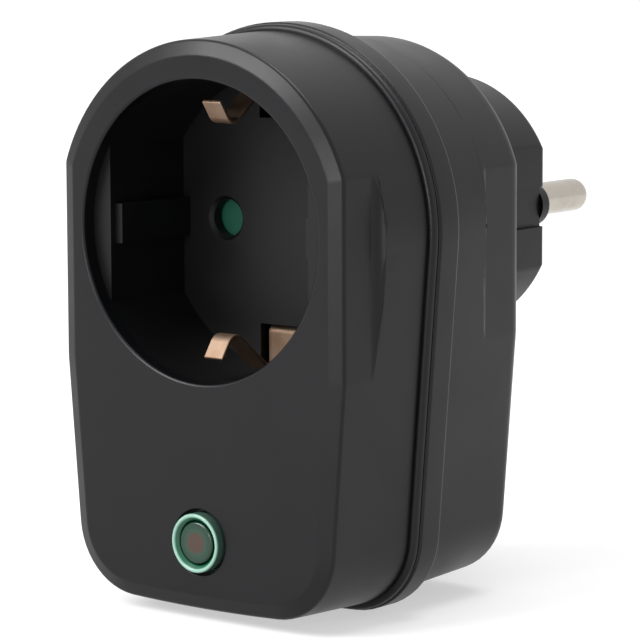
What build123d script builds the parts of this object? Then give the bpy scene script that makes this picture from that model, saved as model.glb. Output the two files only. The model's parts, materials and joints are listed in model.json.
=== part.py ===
"""Residual current device adapter: plug, socket and a test button in one housing.

Sizes are in millimetres and degrees. +X is to the right seen from the socket side, +Z is up and the socket
faces -Y. The origin is the middle of the plug's contact face, on the axis that socket and plug share.
Depths run rearwards from the front face, and drops run down from the axis.
"""

from build123d import *
import math
import os

os.makedirs("parts", exist_ok=True)

# Housing outline
arch_radius = 26.2
rear_arch_radius = 25.5
bottom_drop = 51.7
flank_taper = 4.6
corner_radius = 10.7
belly_radius = 285.0
housing_depth = 42.3
parting_depth = 17.6
front_draft = 0.6
rear_draft = 1.0
front_rounding = 1.3
rear_rounding = 2.4
wall = 2.0
front_wall = 2.2

# Grip: the flats on both sides end in coves and leave the full arch between them
front_flat_half_width = 24.8
rear_flat_half_width = 24.3
front_step_depth = 6.1
rear_step_depth = 33.0
cove_radius = 1.5
flat_corner_radius = 4.0

# Band round the parting line, and the tongue that registers the two shells
band_front_depth = 16.4
band_rear_depth = 22.3
front_lip_proud = 0.85
band_proud = 1.1
lip_rounding = 0.4
lip_easing = 0.2
tongue_height = 1.5
tongue_thickness = 0.9
seam_clearance = 0.1

# Socket
opening_radius = 20.3
rim_chamfer = 0.45
socket_depth = 17.5
socket_floor = 2.0
cup_wall = 1.4
cup_clearance = 0.3
chord_half_width = 17.2
guide_rib_width = 5.4
guide_rib_half_span = 16.0
guide_rib_depth = 3.2
pin_spacing = 19.0
pin_hole_radius = 2.6
pin_hole_chamfer = 0.5
clip_slot_half_width = 3.4
clip_slot_reach = 14.2

# Plug
nose_radius = 18.5
nose_half_width = 16.5
nose_length = 15.5
nose_rounding = 1.2
nose_wall = 2.0
nose_end_wall = 2.5
nose_cavity_half_width = 14.2
groove_width = 5.8
groove_half_span = 15.4
bridge_height = 2.0
bridge_half_length = 16.0
bridge_half_width = 3.1
bridge_rounding = 0.5
bridge_body_half_length = 13.4
bridge_body_depth = 5.2
bridge_clearance = 0.1
pin_radius = 2.4
pin_reach = 18.7
pin_tip_radius = 1.9
pin_root_radius = 2.1
pin_relief_radius = 2.5
pin_relief_depth = 0.5
pin_shoulder_gap = 0.2
pin_hole_play = 0.05
pin_collar_radius = 3.0
pin_collar_length = 2.0
pin_shank_radius = 1.8
pin_shank_length = 6.0

# Sprung earth clips of the socket
clip_thickness = 0.55
clip_width = 3.2
clip_root_width = 6.0
clip_tip_depth = 2.2
clip_tip_reach = 17.3
clip_apex_depth = 8.6
clip_apex_reach = 15.0
clip_wall_depth = 13.6
clip_wall_gap = 0.3
clip_bend_radius = 0.9
clip_apex_radius = 1.6
clip_root_recess = 1.2
clip_strap_reach = 14.7

# Earth path from socket to plug
earth_bridge_depth = 38.6
earth_bridge_thickness = 0.8
earth_bridge_width = 6.0
strip_thickness = 0.8
strip_width = 5.0
strip_inner_reach = 15.2
strip_outer_reach = 17.5
strip_foot = 2.6
strip_bend_radius = 0.6
strip_ramp = 1.4
strip_end_gap = 0.7
window_margin = 0.4
window_start = 2.7
window_end_wall = 0.2

# Shutter behind the socket floor
shutter_gap = 0.3
shutter_thickness = 1.6
shutter_wing_radius = 13.3
shutter_wing_half_angle = 20.0
shutter_hub_radius = 5.6
shutter_cam = 0.9
hub_pin_radius = 1.5
hub_play = 0.06
spring_post_radius = 0.45
spring_post_reach = 4.6
spring_post_height = 0.4

# Cover that closes the shutter space and carries the contact sleeves
cover_gap = 0.6
cover_thickness = 2.4
cover_radius = 17.4
cover_half_height = 13.4
cover_pocket_radius = 3.6
cover_pocket_depth = 1.7
pillar_radius = 1.5
pillar_circle = 15.5
pillar_count = 4
pillar_start_angle = 45.0
stake_radius = 1.0
stake_play = 0.05
stake_head_radius = 1.8
stake_head_height = 0.8
sleeve_radius = 3.2
sleeve_wall = 0.7
sleeve_length = 14.5
sleeve_slit = 0.8
sleeve_slit_length = 10.0
sleeve_seat = 0.8
sleeve_play = 0.1
collar_wall = 1.2
collar_length = 3.6

# Torsion spring of the shutter
shutter_spring_radius = 2.5
shutter_spring_wire = 0.4
shutter_spring_pitch = 0.6
shutter_spring_turns = 2
shutter_spring_gap = 0.15

# Test button, its light ring and lamp
button_drop = 41.8
button_hole_radius = 4.5
ring_radius = 4.05
ring_bore = 3.1
ring_proud = 1.0
ring_flange_radius = 5.6
ring_flange = 1.2
button_radius = 2.9
button_recess = 0.35
button_crown = 1.0
button_bore = 2.05
button_travel = 1.2
button_gap = 0.3
button_flange_radius = 4.3
button_flange = 1.0
button_stem_length = 3.6
button_arm_width = 3.0
button_edge = 0.35
lamp_radius = 1.5
lamp_dome = 1.35
lamp_foot_radius = 1.7
lamp_foot_height = 3.0
switch_side = 6.0
switch_offset = 7.2
switch_height = 3.3
switch_plunger_radius = 1.7
button_spring_radius = 3.45
button_spring_wire = 0.4
button_spring_turns = 3
button_spring_end_gap = 0.05

# Circuit board and the parts on it
board_depth = 10.0
board_thickness = 1.6
board_top_drop = 24.5
board_shoulder_drop = 38.5
board_bottom_drop = 48.0
board_half_width = 17.0
board_foot_half_width = 10.5
post_radius = 2.0
post_pin_radius = 0.9
post_pin_length = 2.4
post_play = 0.1
upper_post_offset = 14.5
upper_post_drop = 27.0
lower_post_offset = 8.3
lower_post_drop = 46.0
varistor_radius = 5.0
varistor_thickness = 3.6
varistor_rounding = 0.9
varistor_offset = -11.0
varistor_drop = 31.0
capacitor_radius = 4.0
capacitor_height = 9.0
capacitor_bevel = 0.5
capacitor_offset = 10.0
capacitor_drop = 30.5
chip_length = 9.6
chip_width = 6.4
chip_height = 3.3
chip_lift = 0.5
chip_pitch = 2.54
chip_leg = 0.5
chip_drop = 30.0
resistor_radius = 1.1
resistor_length = 6.3
resistor_lead_radius = 0.3
resistor_lead_span = 10.0
resistor_lift = 0.3
resistor_spacing = 2.9
resistor_count = 3
resistor_first_drop = 38.6
rectifier_length = 6.4
rectifier_width = 4.8
rectifier_height = 2.6
rectifier_offset = -11.0
rectifier_drop = 35.9

# Screws that join the shells
boss_radius = 3.2
upper_screw_offset = 19.2
upper_screw_drop = 19.5
lower_screw_offset = 15.8
lower_screw_drop = 44.2
screw_pilot_radius = 1.2
screw_hole_radius = 1.6
screw_length = 16.0
screw_head_radius = 2.6
screw_head_height = 1.8
screw_head_play = 0.2
screw_seat_depth = 28.0
screw_slot_width = 0.8
screw_slot_depth = 0.8

# Summation current transformer
core_offset = 9.6
core_drop = 32.5
core_depth = 28.0
core_length = 6.0
core_radius = 8.0
core_bore = 4.2
winding_thickness = 0.9
winding_half_angle = 35.0
cradle_rib = 1.4
cradle_span = 6.2
cradle_half_height = 6.0

# Trip relay
relay_offset = -9.5
relay_half_width = 8.0
relay_top_drop = 23.5
relay_bottom_drop = 39.5
relay_base_depth = 36.5
relay_base_thickness = 2.0
relay_rib = 1.5
relay_rib_inset = 3.0
yoke_thickness = 1.0
yoke_width = 5.0
coil_drop = 30.8
coil_radius = 4.6
coil_core_radius = 2.2
coil_flange = 0.9
coil_body_radius = 4.1
pole_radius = 3.0
pole_height = 0.8
pole_depth = 25.6
armature_depth = 23.6
armature_thickness = 1.0
armature_width = 8.0
hinge_drop = 24.8
hinge_gap = 0.3
heel_height = 1.6
carrier_half_width = 7.7
carrier_top_drop = 34.0
carrier_joint_drop = 36.4
carrier_bottom_drop = 39.0
carrier_thickness = 1.0
contact_drop = 37.8
contact_height = 1.8
contact_thickness = 0.6
contact_inner_offset = 3.7
contact_outer_offset = 6.9
contact_margin = 0.6
stud_radius = 0.8
stud_depth = 26.5
bar_width = 1.4
bar_thickness = 0.8
bar_cross_drop = 19.0
lug_radius = 4.5
armature_spring_radius = 0.9
armature_spring_wire = 0.35
armature_spring_turns = 7

# Conductors from the plug pins through the transformer to the relay
conductor_radius = 0.7
conductor_bend = 1.6
conductor_pitch = 1.8
conductor_start_depth = 46.0
conductor_nose_drop = 11.5
conductor_clearance = 0.6
conductor_step = 2.2
conductor_cross_drop = 21.0
left_lane = -0.1
right_lane = 2.1
left_run_depth = 30.5
left_run_drop = 40.0
right_run_depth = 31.0

# Places that follow from the sizes above
nose_end_depth = housing_depth + nose_length
contact_depth = nose_end_depth + bridge_height
pin_offset = pin_spacing / 2
cup_radius = opening_radius + cup_wall
cavity_half_width = cup_radius + cup_clearance
floor_rear_depth = socket_depth + socket_floor
shutter_front_depth = floor_rear_depth + shutter_gap
shutter_rear_depth = shutter_front_depth + shutter_thickness
cover_front_depth = shutter_rear_depth + cover_gap
cover_rear_depth = cover_front_depth + cover_thickness
sleeve_front_depth = cover_front_depth + sleeve_seat
board_rear_depth = board_depth + board_thickness
conductor_rear_depth = housing_depth - wall - conductor_clearance - conductor_radius
left_exit_depth = core_depth - conductor_step
right_exit_depth = left_exit_depth - conductor_step
relay_left_stud = relay_offset - contact_outer_offset
relay_right_stud = relay_offset + contact_outer_offset
beyond = arch_radius + bottom_drop
tolerance = 0.001


def behind(depth):
    """Plane across the depth: its x is X, its y is Z and its normal points to the front."""
    return Plane.XZ.offset(contact_depth - depth)


def y_at(depth):
    """Y of a place at this depth behind the front face."""
    return depth - contact_depth


def rearward(length, mode=Mode.ADD):
    """Extrudes the last sketch away from the front."""
    extrude(amount=-length, mode=mode)


def housing_section(radius, inset):
    """Section across the housing: arch of this radius, leaning flanks and belly, all moved in."""
    with BuildSketch() as section:
        with BuildLine():
            arch = CenterArc((0, 0), radius - inset, -flank_taper, 180 + 2 * flank_taper)
            right = PolarLine(arch @ 0, bottom_drop, 270 - flank_taper)
            left = PolarLine(arch @ 1, bottom_drop, 270 + flank_taper)
            Line(right @ 1, left @ 1)
        make_face()
        with Locations((0, belly_radius - bottom_drop)):
            Circle(belly_radius - inset, mode=Mode.INTERSECT)
        fillet(section.vertices().group_by(Axis.Y)[0], corner_radius - inset)
    return section.sketch


def cavity_section(radius, inset):
    """Section of the hollow inside the walls, narrowed so that the side flats keep their thickness."""
    with BuildSketch() as section:
        add(housing_section(radius, inset))
        Rectangle(2 * cavity_half_width, 2 * beyond, mode=Mode.INTERSECT)
    return section.sketch


def tongue_section(clearance):
    """Section of the front shell's hollow at the parting line, less this clearance all round."""
    with BuildSketch() as section:
        add(housing_section(arch_radius, front_draft + wall + clearance))
        Rectangle(2 * (cavity_half_width - clearance), 2 * beyond, mode=Mode.INTERSECT)
    return section.sketch


def lip(radius, proud, front_depth, rear_depth, front_edge, rear_edge):
    """Lip that stands proud all round the housing, with its outer edges rounded."""
    with BuildPart() as ring:
        with BuildSketch(behind(front_depth)):
            add(housing_section(radius, -proud))
        rearward(rear_depth - front_depth)
        fillet(ring.faces().sort_by(Axis.Y)[0].edges(), front_edge)
        fillet(ring.faces().sort_by(Axis.Y)[-1].edges(), rear_edge)
    return ring.part


def front_lean(depth):
    """How far the front shell's sides lie inside the parting outline at this depth."""
    return front_draft * (1 - depth / parting_depth)


def rear_lean(depth):
    """How far the rear shell's sides lie inside the parting outline at this depth."""
    return rear_draft * (depth - parting_depth) / (housing_depth - parting_depth)


def flat_section(radius, half_width, inset):
    """Section between the side flats, with its corners eased."""
    with BuildSketch() as section:
        add(housing_section(radius, inset))
        Rectangle(2 * (half_width - inset), 2 * beyond, mode=Mode.INTERSECT)
        flat_reach = half_width - inset - tolerance
        corners = section.vertices().filter_by(lambda point: abs(point.X) > flat_reach)
        fillet(corners, flat_corner_radius)
    return section.sketch


def step_plan(half_width, lean, step_depth, end_depth):
    """Plan of what the flats take off the full sections: each flat runs out in a cove."""
    cove = math.copysign(cove_radius, step_depth - end_depth)
    flat_end = half_width - lean(step_depth)
    with BuildSketch() as plan:
        with BuildLine():
            Polyline(
                (flat_end + cove_radius, y_at(step_depth + cove)),
                (beyond, y_at(step_depth + cove)),
                (beyond, y_at(end_depth)),
                (half_width - lean(end_depth), y_at(end_depth)),
                (flat_end, y_at(step_depth)),
            )
            JernArc((flat_end, y_at(step_depth)), (0, cove), cove_radius, -90 * math.copysign(1, cove))
        make_face()
        mirror(about=Plane.YZ)
    return plan.sketch


def both_sides(offset, drop):
    """Points left and right of the middle."""
    return [(side * offset, -drop) for side in (-1, 1)]


screw_places = [
    *both_sides(upper_screw_offset, upper_screw_drop),
    *both_sides(lower_screw_offset, lower_screw_drop),
]
post_places = [
    *both_sides(upper_post_offset, upper_post_drop),
    *both_sides(lower_post_offset, lower_post_drop),
]
pin_places = [(-pin_offset, 0), (pin_offset, 0)]


# Front shell
with BuildPart() as front_shell:
    for depth in (front_step_depth, parting_depth):
        with BuildSketch(behind(depth)):
            add(housing_section(arch_radius, front_lean(depth)))
    loft(ruled=True)
    with BuildSketch(Plane.XY):
        add(step_plan(front_flat_half_width, front_lean, front_step_depth, 0))
    extrude(amount=beyond, both=True, mode=Mode.SUBTRACT)
    for depth in (0, front_step_depth):
        with BuildSketch(behind(depth)):
            add(flat_section(arch_radius, front_flat_half_width, front_lean(depth)))
    loft(ruled=True)
    fillet(front_shell.faces().sort_by(Axis.Y)[0].edges(), front_rounding)
    add(lip(arch_radius, front_lip_proud, band_front_depth, parting_depth, lip_rounding, lip_easing))
    with BuildSketch(behind(front_wall)):
        add(cavity_section(arch_radius, front_draft + wall))
    rearward(parting_depth - front_wall, Mode.SUBTRACT)
    with BuildSketch(behind(0)):
        Circle(opening_radius)
        with Locations((0, -button_drop)):
            Circle(button_hole_radius)
    rearward(front_wall, Mode.SUBTRACT)
    rim = front_shell.edges().filter_by(GeomType.CIRCLE).filter_by(lambda edge: edge.radius == opening_radius)
    chamfer(rim.sort_by(Axis.Y)[0], rim_chamfer)
    with BuildSketch(behind(front_wall)):
        with Locations(*screw_places):
            Circle(boss_radius)
    rearward(parting_depth - front_wall)
    with BuildSketch(behind(parting_depth)):
        with Locations(*screw_places):
            Circle(screw_pilot_radius)
    extrude(amount=screw_length - (screw_seat_depth - parting_depth) + wall, mode=Mode.SUBTRACT)
    with BuildSketch(behind(front_wall)):
        with Locations(*post_places):
            Circle(post_radius)
    rearward(board_depth - front_wall)
    with BuildSketch(behind(board_depth)):
        with Locations(*post_places):
            Circle(post_pin_radius)
    rearward(post_pin_length)
front_shell.part.label = "front_shell"
export_step(front_shell.part, "parts/front_shell.step")

# Rear shell with the plug nose
with BuildPart() as rear_shell:
    for depth in (parting_depth, rear_step_depth):
        with BuildSketch(behind(depth)):
            add(housing_section(rear_arch_radius, rear_lean(depth)))
    loft(ruled=True)
    with BuildSketch(Plane.XY):
        add(step_plan(rear_flat_half_width, rear_lean, rear_step_depth, housing_depth))
    extrude(amount=beyond, both=True, mode=Mode.SUBTRACT)
    for depth in (rear_step_depth, housing_depth):
        with BuildSketch(behind(depth)):
            add(flat_section(rear_arch_radius, rear_flat_half_width, rear_lean(depth)))
    loft(ruled=True)
    fillet(rear_shell.faces().sort_by(Axis.Y)[-1].edges(), rear_rounding)
    add(lip(arch_radius, band_proud, parting_depth, band_rear_depth, lip_rounding, lip_easing))
    with BuildSketch(behind(housing_depth - wall)):
        Circle(nose_radius)
        Rectangle(2 * nose_half_width, 2 * nose_radius, mode=Mode.INTERSECT)
    rearward(nose_length + wall)
    fillet(rear_shell.faces().sort_by(Axis.Y)[-1].edges(), nose_rounding)
    with BuildSketch(behind(housing_depth)):
        groove_depth = nose_radius - groove_half_span
        with Locations(*[(side * (groove_half_span + groove_depth / 2), 0) for side in (-1, 1)]):
            Rectangle(groove_depth, groove_width)
    rearward(nose_length, Mode.SUBTRACT)
    with BuildSketch(behind(parting_depth)):
        add(cavity_section(rear_arch_radius, rear_draft + wall))
    rearward(housing_depth - wall - parting_depth, Mode.SUBTRACT)
    with BuildSketch(behind(housing_depth - wall)):
        Circle(nose_radius - nose_wall)
        Rectangle(2 * nose_cavity_half_width, 2 * nose_radius, mode=Mode.INTERSECT)
    rearward(nose_length + wall - nose_end_wall, Mode.SUBTRACT)
    with BuildSketch(behind(nose_end_depth)):
        SlotOverall(
            2 * (bridge_body_half_length + bridge_clearance), 2 * (bridge_half_width + bridge_clearance)
        )
    extrude(amount=nose_end_wall, mode=Mode.SUBTRACT)
    with BuildSketch(behind(housing_depth + window_start)):
        Rectangle(strip_width + 2 * window_margin, 2 * nose_radius)
    rearward(nose_length - nose_end_wall - window_start - window_end_wall, Mode.SUBTRACT)
    with BuildSketch(behind(parting_depth)):
        add(tongue_section(seam_clearance))
        add(tongue_section(seam_clearance + tongue_thickness), mode=Mode.SUBTRACT)
        Circle(cup_radius + cup_clearance, mode=Mode.SUBTRACT)
        with Locations(*screw_places):
            Circle(boss_radius + cup_clearance, mode=Mode.SUBTRACT)
    extrude(amount=tongue_height)
    with BuildSketch(behind(parting_depth)):
        with Locations(*screw_places):
            Circle(boss_radius)
    rearward(housing_depth - wall - parting_depth)
    with BuildSketch(behind(parting_depth)):
        with Locations(*screw_places):
            Circle(screw_hole_radius)
    rearward(screw_seat_depth - parting_depth, Mode.SUBTRACT)
    with BuildSketch(behind(screw_seat_depth)):
        with Locations(*screw_places):
            Circle(screw_head_radius + screw_head_play)
    rearward(housing_depth - screw_seat_depth, Mode.SUBTRACT)
    with BuildSketch(behind(core_depth + core_length)):
        with Locations(*[(core_offset + side * cradle_span, -core_drop) for side in (-1, 1)]):
            Rectangle(cradle_rib, 2 * cradle_half_height)
    rearward(housing_depth - wall - core_depth - core_length)
    with BuildSketch(behind(relay_base_depth + relay_base_thickness)):
        for drop in (relay_top_drop + relay_rib_inset, relay_bottom_drop - relay_rib_inset):
            with Locations((relay_offset, -drop)):
                Rectangle(2 * relay_half_width, relay_rib)
    rearward(housing_depth - wall - relay_base_depth - relay_base_thickness)
rear_shell.part.label = "rear_shell"
export_step(rear_shell.part, "parts/rear_shell.step")

# Socket cup: recess with guide ribs, pin holes, clip slots, and the shutter's pivot on its back
with BuildPart() as socket_cup:
    with BuildSketch(behind(front_wall)):
        Circle(cup_radius)
    rearward(floor_rear_depth - front_wall)
    with BuildSketch(behind(front_wall)):
        Circle(opening_radius)
        Rectangle(2 * chord_half_width, 2 * opening_radius, mode=Mode.INTERSECT)
    rearward(socket_depth - front_wall, Mode.SUBTRACT)
    with BuildSketch(behind(guide_rib_depth)):
        rib = cup_radius - guide_rib_half_span
        with Locations(*[(side * (guide_rib_half_span + rib / 2), 0) for side in (-1, 1)]):
            Rectangle(rib, guide_rib_width)
        Circle(cup_radius, mode=Mode.INTERSECT)
    rearward(floor_rear_depth - guide_rib_depth)
    with BuildSketch(behind(socket_depth)):
        with Locations(*pin_places):
            Circle(pin_hole_radius)
    rearward(socket_floor, Mode.SUBTRACT)
    circles = socket_cup.edges().filter_by(GeomType.CIRCLE)
    hole_edges = circles.filter_by(lambda edge: edge.radius == pin_hole_radius)
    chamfer(hole_edges.group_by(Axis.Y)[0], pin_hole_chamfer)
    with BuildSketch(behind(socket_depth)):
        Rectangle(2 * clip_slot_half_width, 2 * opening_radius)
        Rectangle(2 * clip_slot_half_width, 2 * clip_slot_reach, mode=Mode.SUBTRACT)
        Circle(opening_radius, mode=Mode.INTERSECT)
    rearward(socket_floor, Mode.SUBTRACT)
    with BuildSketch(behind(floor_rear_depth)):
        Circle(hub_pin_radius)
    rearward(cover_front_depth + cover_pocket_depth - floor_rear_depth)
    with BuildSketch(behind(floor_rear_depth)):
        with PolarLocations(pillar_circle, pillar_count, start_angle=pillar_start_angle):
            Circle(pillar_radius)
    rearward(cover_front_depth - floor_rear_depth)
    with BuildSketch(behind(cover_front_depth)):
        with PolarLocations(pillar_circle, pillar_count, start_angle=pillar_start_angle):
            Circle(stake_radius)
    rearward(cover_thickness)
    with BuildSketch(behind(cover_rear_depth)):
        with PolarLocations(pillar_circle, pillar_count, start_angle=pillar_start_angle):
            Circle(stake_head_radius)
    rearward(stake_head_height)
socket_cup.part.label = "socket_cup"
export_step(socket_cup.part, "parts/socket_cup.step")

# Shutter: two wings that hide the pin holes until both pins press on their sloped edges
with BuildPart() as shutter:
    with BuildSketch(behind(shutter_front_depth)):
        with BuildLine():
            wing = CenterArc(
                (0, 0), shutter_wing_radius, -shutter_wing_half_angle, 2 * shutter_wing_half_angle
            )
            Polyline(wing @ 1, (0, 0), wing @ 0)
        make_face()
        mirror(about=Plane.YZ)
        Circle(shutter_hub_radius)
    rearward(shutter_thickness)
    front_lines = shutter.faces().sort_by(Axis.Y)[0].edges().filter_by(GeomType.LINE)
    cam_edges = [edge for edge in front_lines if edge.center().X * edge.center().Z > 0]
    chamfer(cam_edges, shutter_cam)
    with BuildSketch(behind(shutter_front_depth)):
        Circle(hub_pin_radius + hub_play)
    rearward(shutter_thickness, Mode.SUBTRACT)
    with BuildSketch(behind(shutter_rear_depth)):
        with Locations((0, spring_post_reach)):
            Circle(spring_post_radius)
    rearward(spring_post_height)
shutter.part.label = "shutter"
export_step(shutter.part, "parts/shutter.step")

# Torsion spring of the shutter, round the pivot
with BuildPart() as shutter_spring:
    with BuildLine(Plane.XY):
        coil = Helix(
            shutter_spring_pitch,
            shutter_spring_pitch * shutter_spring_turns,
            shutter_spring_radius,
            center=(0, y_at(shutter_rear_depth + shutter_spring_gap + shutter_spring_wire / 2), 0),
            direction=(0, 1, 0),
        )
    with BuildSketch(Plane(origin=coil @ 0, z_dir=coil % 0)):
        Rectangle(shutter_spring_wire, shutter_spring_wire)
    sweep(is_frenet=True)
shutter_spring.part.label = "shutter_spring"
export_step(shutter_spring.part, "parts/shutter_spring.step")

# Cover behind the shutter, with a collar for each contact sleeve
with BuildPart() as shutter_cover:
    with BuildSketch(behind(cover_front_depth)):
        Circle(cover_radius)
        Rectangle(2 * cover_radius, 2 * cover_half_height, mode=Mode.INTERSECT)
    rearward(cover_thickness)
    with BuildSketch(behind(cover_rear_depth)):
        with Locations(*pin_places):
            Circle(sleeve_radius + collar_wall)
    rearward(collar_length)
    with BuildSketch(behind(sleeve_front_depth)):
        with Locations(*pin_places):
            Circle(sleeve_radius + sleeve_play)
    rearward(cover_thickness + collar_length, Mode.SUBTRACT)
    with BuildSketch(behind(cover_front_depth)):
        with Locations(*pin_places):
            Circle(pin_hole_radius)
    rearward(cover_thickness, Mode.SUBTRACT)
    with BuildSketch(behind(cover_front_depth)):
        Circle(cover_pocket_radius)
    rearward(cover_pocket_depth, Mode.SUBTRACT)
    with BuildSketch(behind(cover_front_depth)):
        with PolarLocations(pillar_circle, pillar_count, start_angle=pillar_start_angle):
            Circle(stake_radius + stake_play)
    rearward(cover_thickness, Mode.SUBTRACT)
shutter_cover.part.label = "shutter_cover"
export_step(shutter_cover.part, "parts/shutter_cover.step")

# Contact sleeves, slit so that they grip a pin
for name, side in (("contact_sleeve_left", -1), ("contact_sleeve_right", 1)):
    with BuildPart() as contact_sleeve:
        with BuildSketch(behind(sleeve_front_depth)):
            with Locations((side * pin_offset, 0)):
                Circle(sleeve_radius)
                Circle(sleeve_radius - sleeve_wall, mode=Mode.SUBTRACT)
        rearward(sleeve_length)
        with BuildSketch(behind(sleeve_front_depth)):
            with Locations((side * pin_offset, 0)):
                Rectangle(2 * sleeve_radius, sleeve_slit)
        rearward(sleeve_slit_length, Mode.SUBTRACT)
    contact_sleeve.part.label = name
    export_step(contact_sleeve.part, f"parts/{name}.step")

# Sprung earth clips: folded strip with a narrow free arm and a wide root that runs back as a strap
wall_reach = opening_radius - clip_wall_gap - clip_thickness / 2
root_depth = socket_depth + clip_root_recess + clip_thickness / 2
for name, side in (("earth_clip_upper", 1), ("earth_clip_lower", -1)):
    with BuildPart() as earth_clip:
        with BuildSketch(Plane.YZ):
            with BuildLine():
                FilletPolyline(
                    (y_at(clip_tip_depth), side * clip_tip_reach),
                    (y_at(clip_apex_depth), side * clip_apex_reach),
                    (y_at(clip_wall_depth), side * wall_reach),
                    (y_at(root_depth), side * wall_reach),
                    radius=(clip_apex_radius, clip_bend_radius),
                )
            trace(line_width=clip_thickness)
        extrude(amount=clip_width / 2, both=True)
        with BuildSketch(Plane.YZ):
            with BuildLine():
                FilletPolyline(
                    (y_at(root_depth), side * (wall_reach + clip_thickness / 2)),
                    (y_at(root_depth), side * clip_strap_reach),
                    (y_at(earth_bridge_depth), side * clip_strap_reach),
                    radius=clip_bend_radius,
                )
            trace(line_width=clip_thickness)
        extrude(amount=clip_root_width / 2, both=True)
    earth_clip.part.label = name
    export_step(earth_clip.part, f"parts/{name}.step")

# Bridge between the upper and lower earth parts
with BuildPart() as earth_bridge:
    with BuildSketch(behind(earth_bridge_depth)):
        Rectangle(earth_bridge_width, 2 * (strip_inner_reach + strip_thickness / 2))
    rearward(earth_bridge_thickness)
earth_bridge.part.label = "earth_bridge"
export_step(earth_bridge.part, "parts/earth_bridge.step")

# Earth strips of the plug nose, standing out into the windows of the nose
foot_depth = earth_bridge_depth + earth_bridge_thickness + strip_thickness / 2
strip_rise_depth = housing_depth + window_start + strip_bend_radius
strip_fall_depth = nose_end_depth - nose_end_wall - window_end_wall - strip_end_gap
for name, side in (("plug_earth_strip_upper", 1), ("plug_earth_strip_lower", -1)):
    with BuildPart() as plug_earth_strip:
        with BuildSketch(Plane.YZ):
            with BuildLine():
                FilletPolyline(
                    (y_at(foot_depth), side * (strip_inner_reach - strip_foot)),
                    (y_at(foot_depth), side * strip_inner_reach),
                    (y_at(strip_rise_depth), side * strip_inner_reach),
                    (y_at(strip_rise_depth + strip_ramp), side * strip_outer_reach),
                    (y_at(strip_fall_depth - strip_ramp), side * strip_outer_reach),
                    (y_at(strip_fall_depth), side * strip_inner_reach),
                    radius=strip_bend_radius,
                )
            trace(line_width=strip_thickness)
        extrude(amount=strip_width / 2, both=True)
    plug_earth_strip.part.label = name
    export_step(plug_earth_strip.part, f"parts/{name}.step")

# Pin bridge: the oblong bar on the plug's end that holds both pins
with BuildPart() as pin_bridge:
    with BuildSketch(behind(nose_end_depth)):
        SlotOverall(2 * bridge_half_length, 2 * bridge_half_width)
    rearward(bridge_height)
    fillet(pin_bridge.faces().sort_by(Axis.Y)[-1].edges(), bridge_rounding)
    with BuildSketch(behind(nose_end_depth)):
        SlotOverall(2 * bridge_body_half_length, 2 * bridge_half_width)
    extrude(amount=bridge_body_depth)
    with BuildSketch(behind(contact_depth)):
        with Locations(*pin_places):
            Circle(pin_root_radius + pin_hole_play)
    extrude(amount=bridge_body_depth + bridge_height, mode=Mode.SUBTRACT)
    with BuildSketch(behind(contact_depth)):
        with Locations(*pin_places):
            Circle(pin_relief_radius)
    extrude(amount=pin_relief_depth, mode=Mode.SUBTRACT)
pin_bridge.part.label = "pin_bridge"
export_step(pin_bridge.part, "parts/pin_bridge.step")

# Plug pins
collar_depth = nose_end_depth - bridge_body_depth
shoulder_depth = contact_depth + pin_shoulder_gap
for name, side in (("pin_left", -1), ("pin_right", 1)):
    with BuildPart() as pin:
        with BuildSketch(behind(shoulder_depth)):
            with Locations((side * pin_offset, 0)):
                Circle(pin_radius)
        rearward(nose_end_depth + pin_reach - shoulder_depth)
        fillet(pin.faces().sort_by(Axis.Y)[-1].edges(), pin_tip_radius)
        with BuildSketch(behind(shoulder_depth)):
            with Locations((side * pin_offset, 0)):
                Circle(pin_root_radius)
        extrude(amount=shoulder_depth - collar_depth)
        with BuildSketch(behind(collar_depth)):
            with Locations((side * pin_offset, 0)):
                Circle(pin_collar_radius)
        extrude(amount=pin_collar_length)
        with BuildSketch(behind(collar_depth - pin_collar_length)):
            with Locations((side * pin_offset, 0)):
                Circle(pin_shank_radius)
        extrude(amount=pin_shank_length)
    pin.part.label = name
    export_step(pin.part, f"parts/{name}.step")

# Light ring round the button, with a flange behind the front wall
with BuildPart() as light_ring:
    with BuildSketch(behind(-ring_proud)):
        with Locations((0, -button_drop)):
            Circle(ring_radius)
    rearward(ring_proud + front_wall)
    chamfer(light_ring.faces().sort_by(Axis.Y)[0].edges(), button_edge)
    with BuildSketch(behind(front_wall)):
        with Locations((0, -button_drop)):
            Circle(ring_flange_radius)
    rearward(ring_flange)
    with BuildSketch(behind(-ring_proud)):
        with Locations((0, -button_drop)):
            Circle(ring_bore)
    rearward(ring_proud + front_wall + ring_flange, Mode.SUBTRACT)
light_ring.part.label = "light_ring"
export_step(light_ring.part, "parts/light_ring.step")

# Test button: hollow cap over the lamp, a flange behind the ring and an arm that reaches the switch
button_front_depth = button_recess - ring_proud
button_flange_depth = front_wall + ring_flange + button_gap
button_flange_rear_depth = button_flange_depth + button_flange
with BuildPart() as test_button:
    with BuildSketch(behind(button_front_depth)):
        with Locations((0, -button_drop)):
            Circle(button_radius)
    rearward(button_flange_rear_depth + button_stem_length - button_front_depth)
    fillet(test_button.faces().sort_by(Axis.Y)[0].edges(), button_edge)
    with BuildSketch(behind(button_flange_depth)):
        with Locations((0, -button_drop)):
            Circle(button_flange_radius)
        with Locations((0, -button_drop + (switch_offset + switch_plunger_radius) / 2)):
            Rectangle(button_arm_width, switch_offset + switch_plunger_radius)
    rearward(button_flange)
    with BuildSketch(behind(button_front_depth + button_crown)):
        with Locations((0, -button_drop)):
            Circle(button_bore)
    rearward(button_flange_rear_depth + button_stem_length - button_front_depth - button_crown, Mode.SUBTRACT)
test_button.part.label = "test_button"
export_step(test_button.part, "parts/test_button.step")

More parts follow.
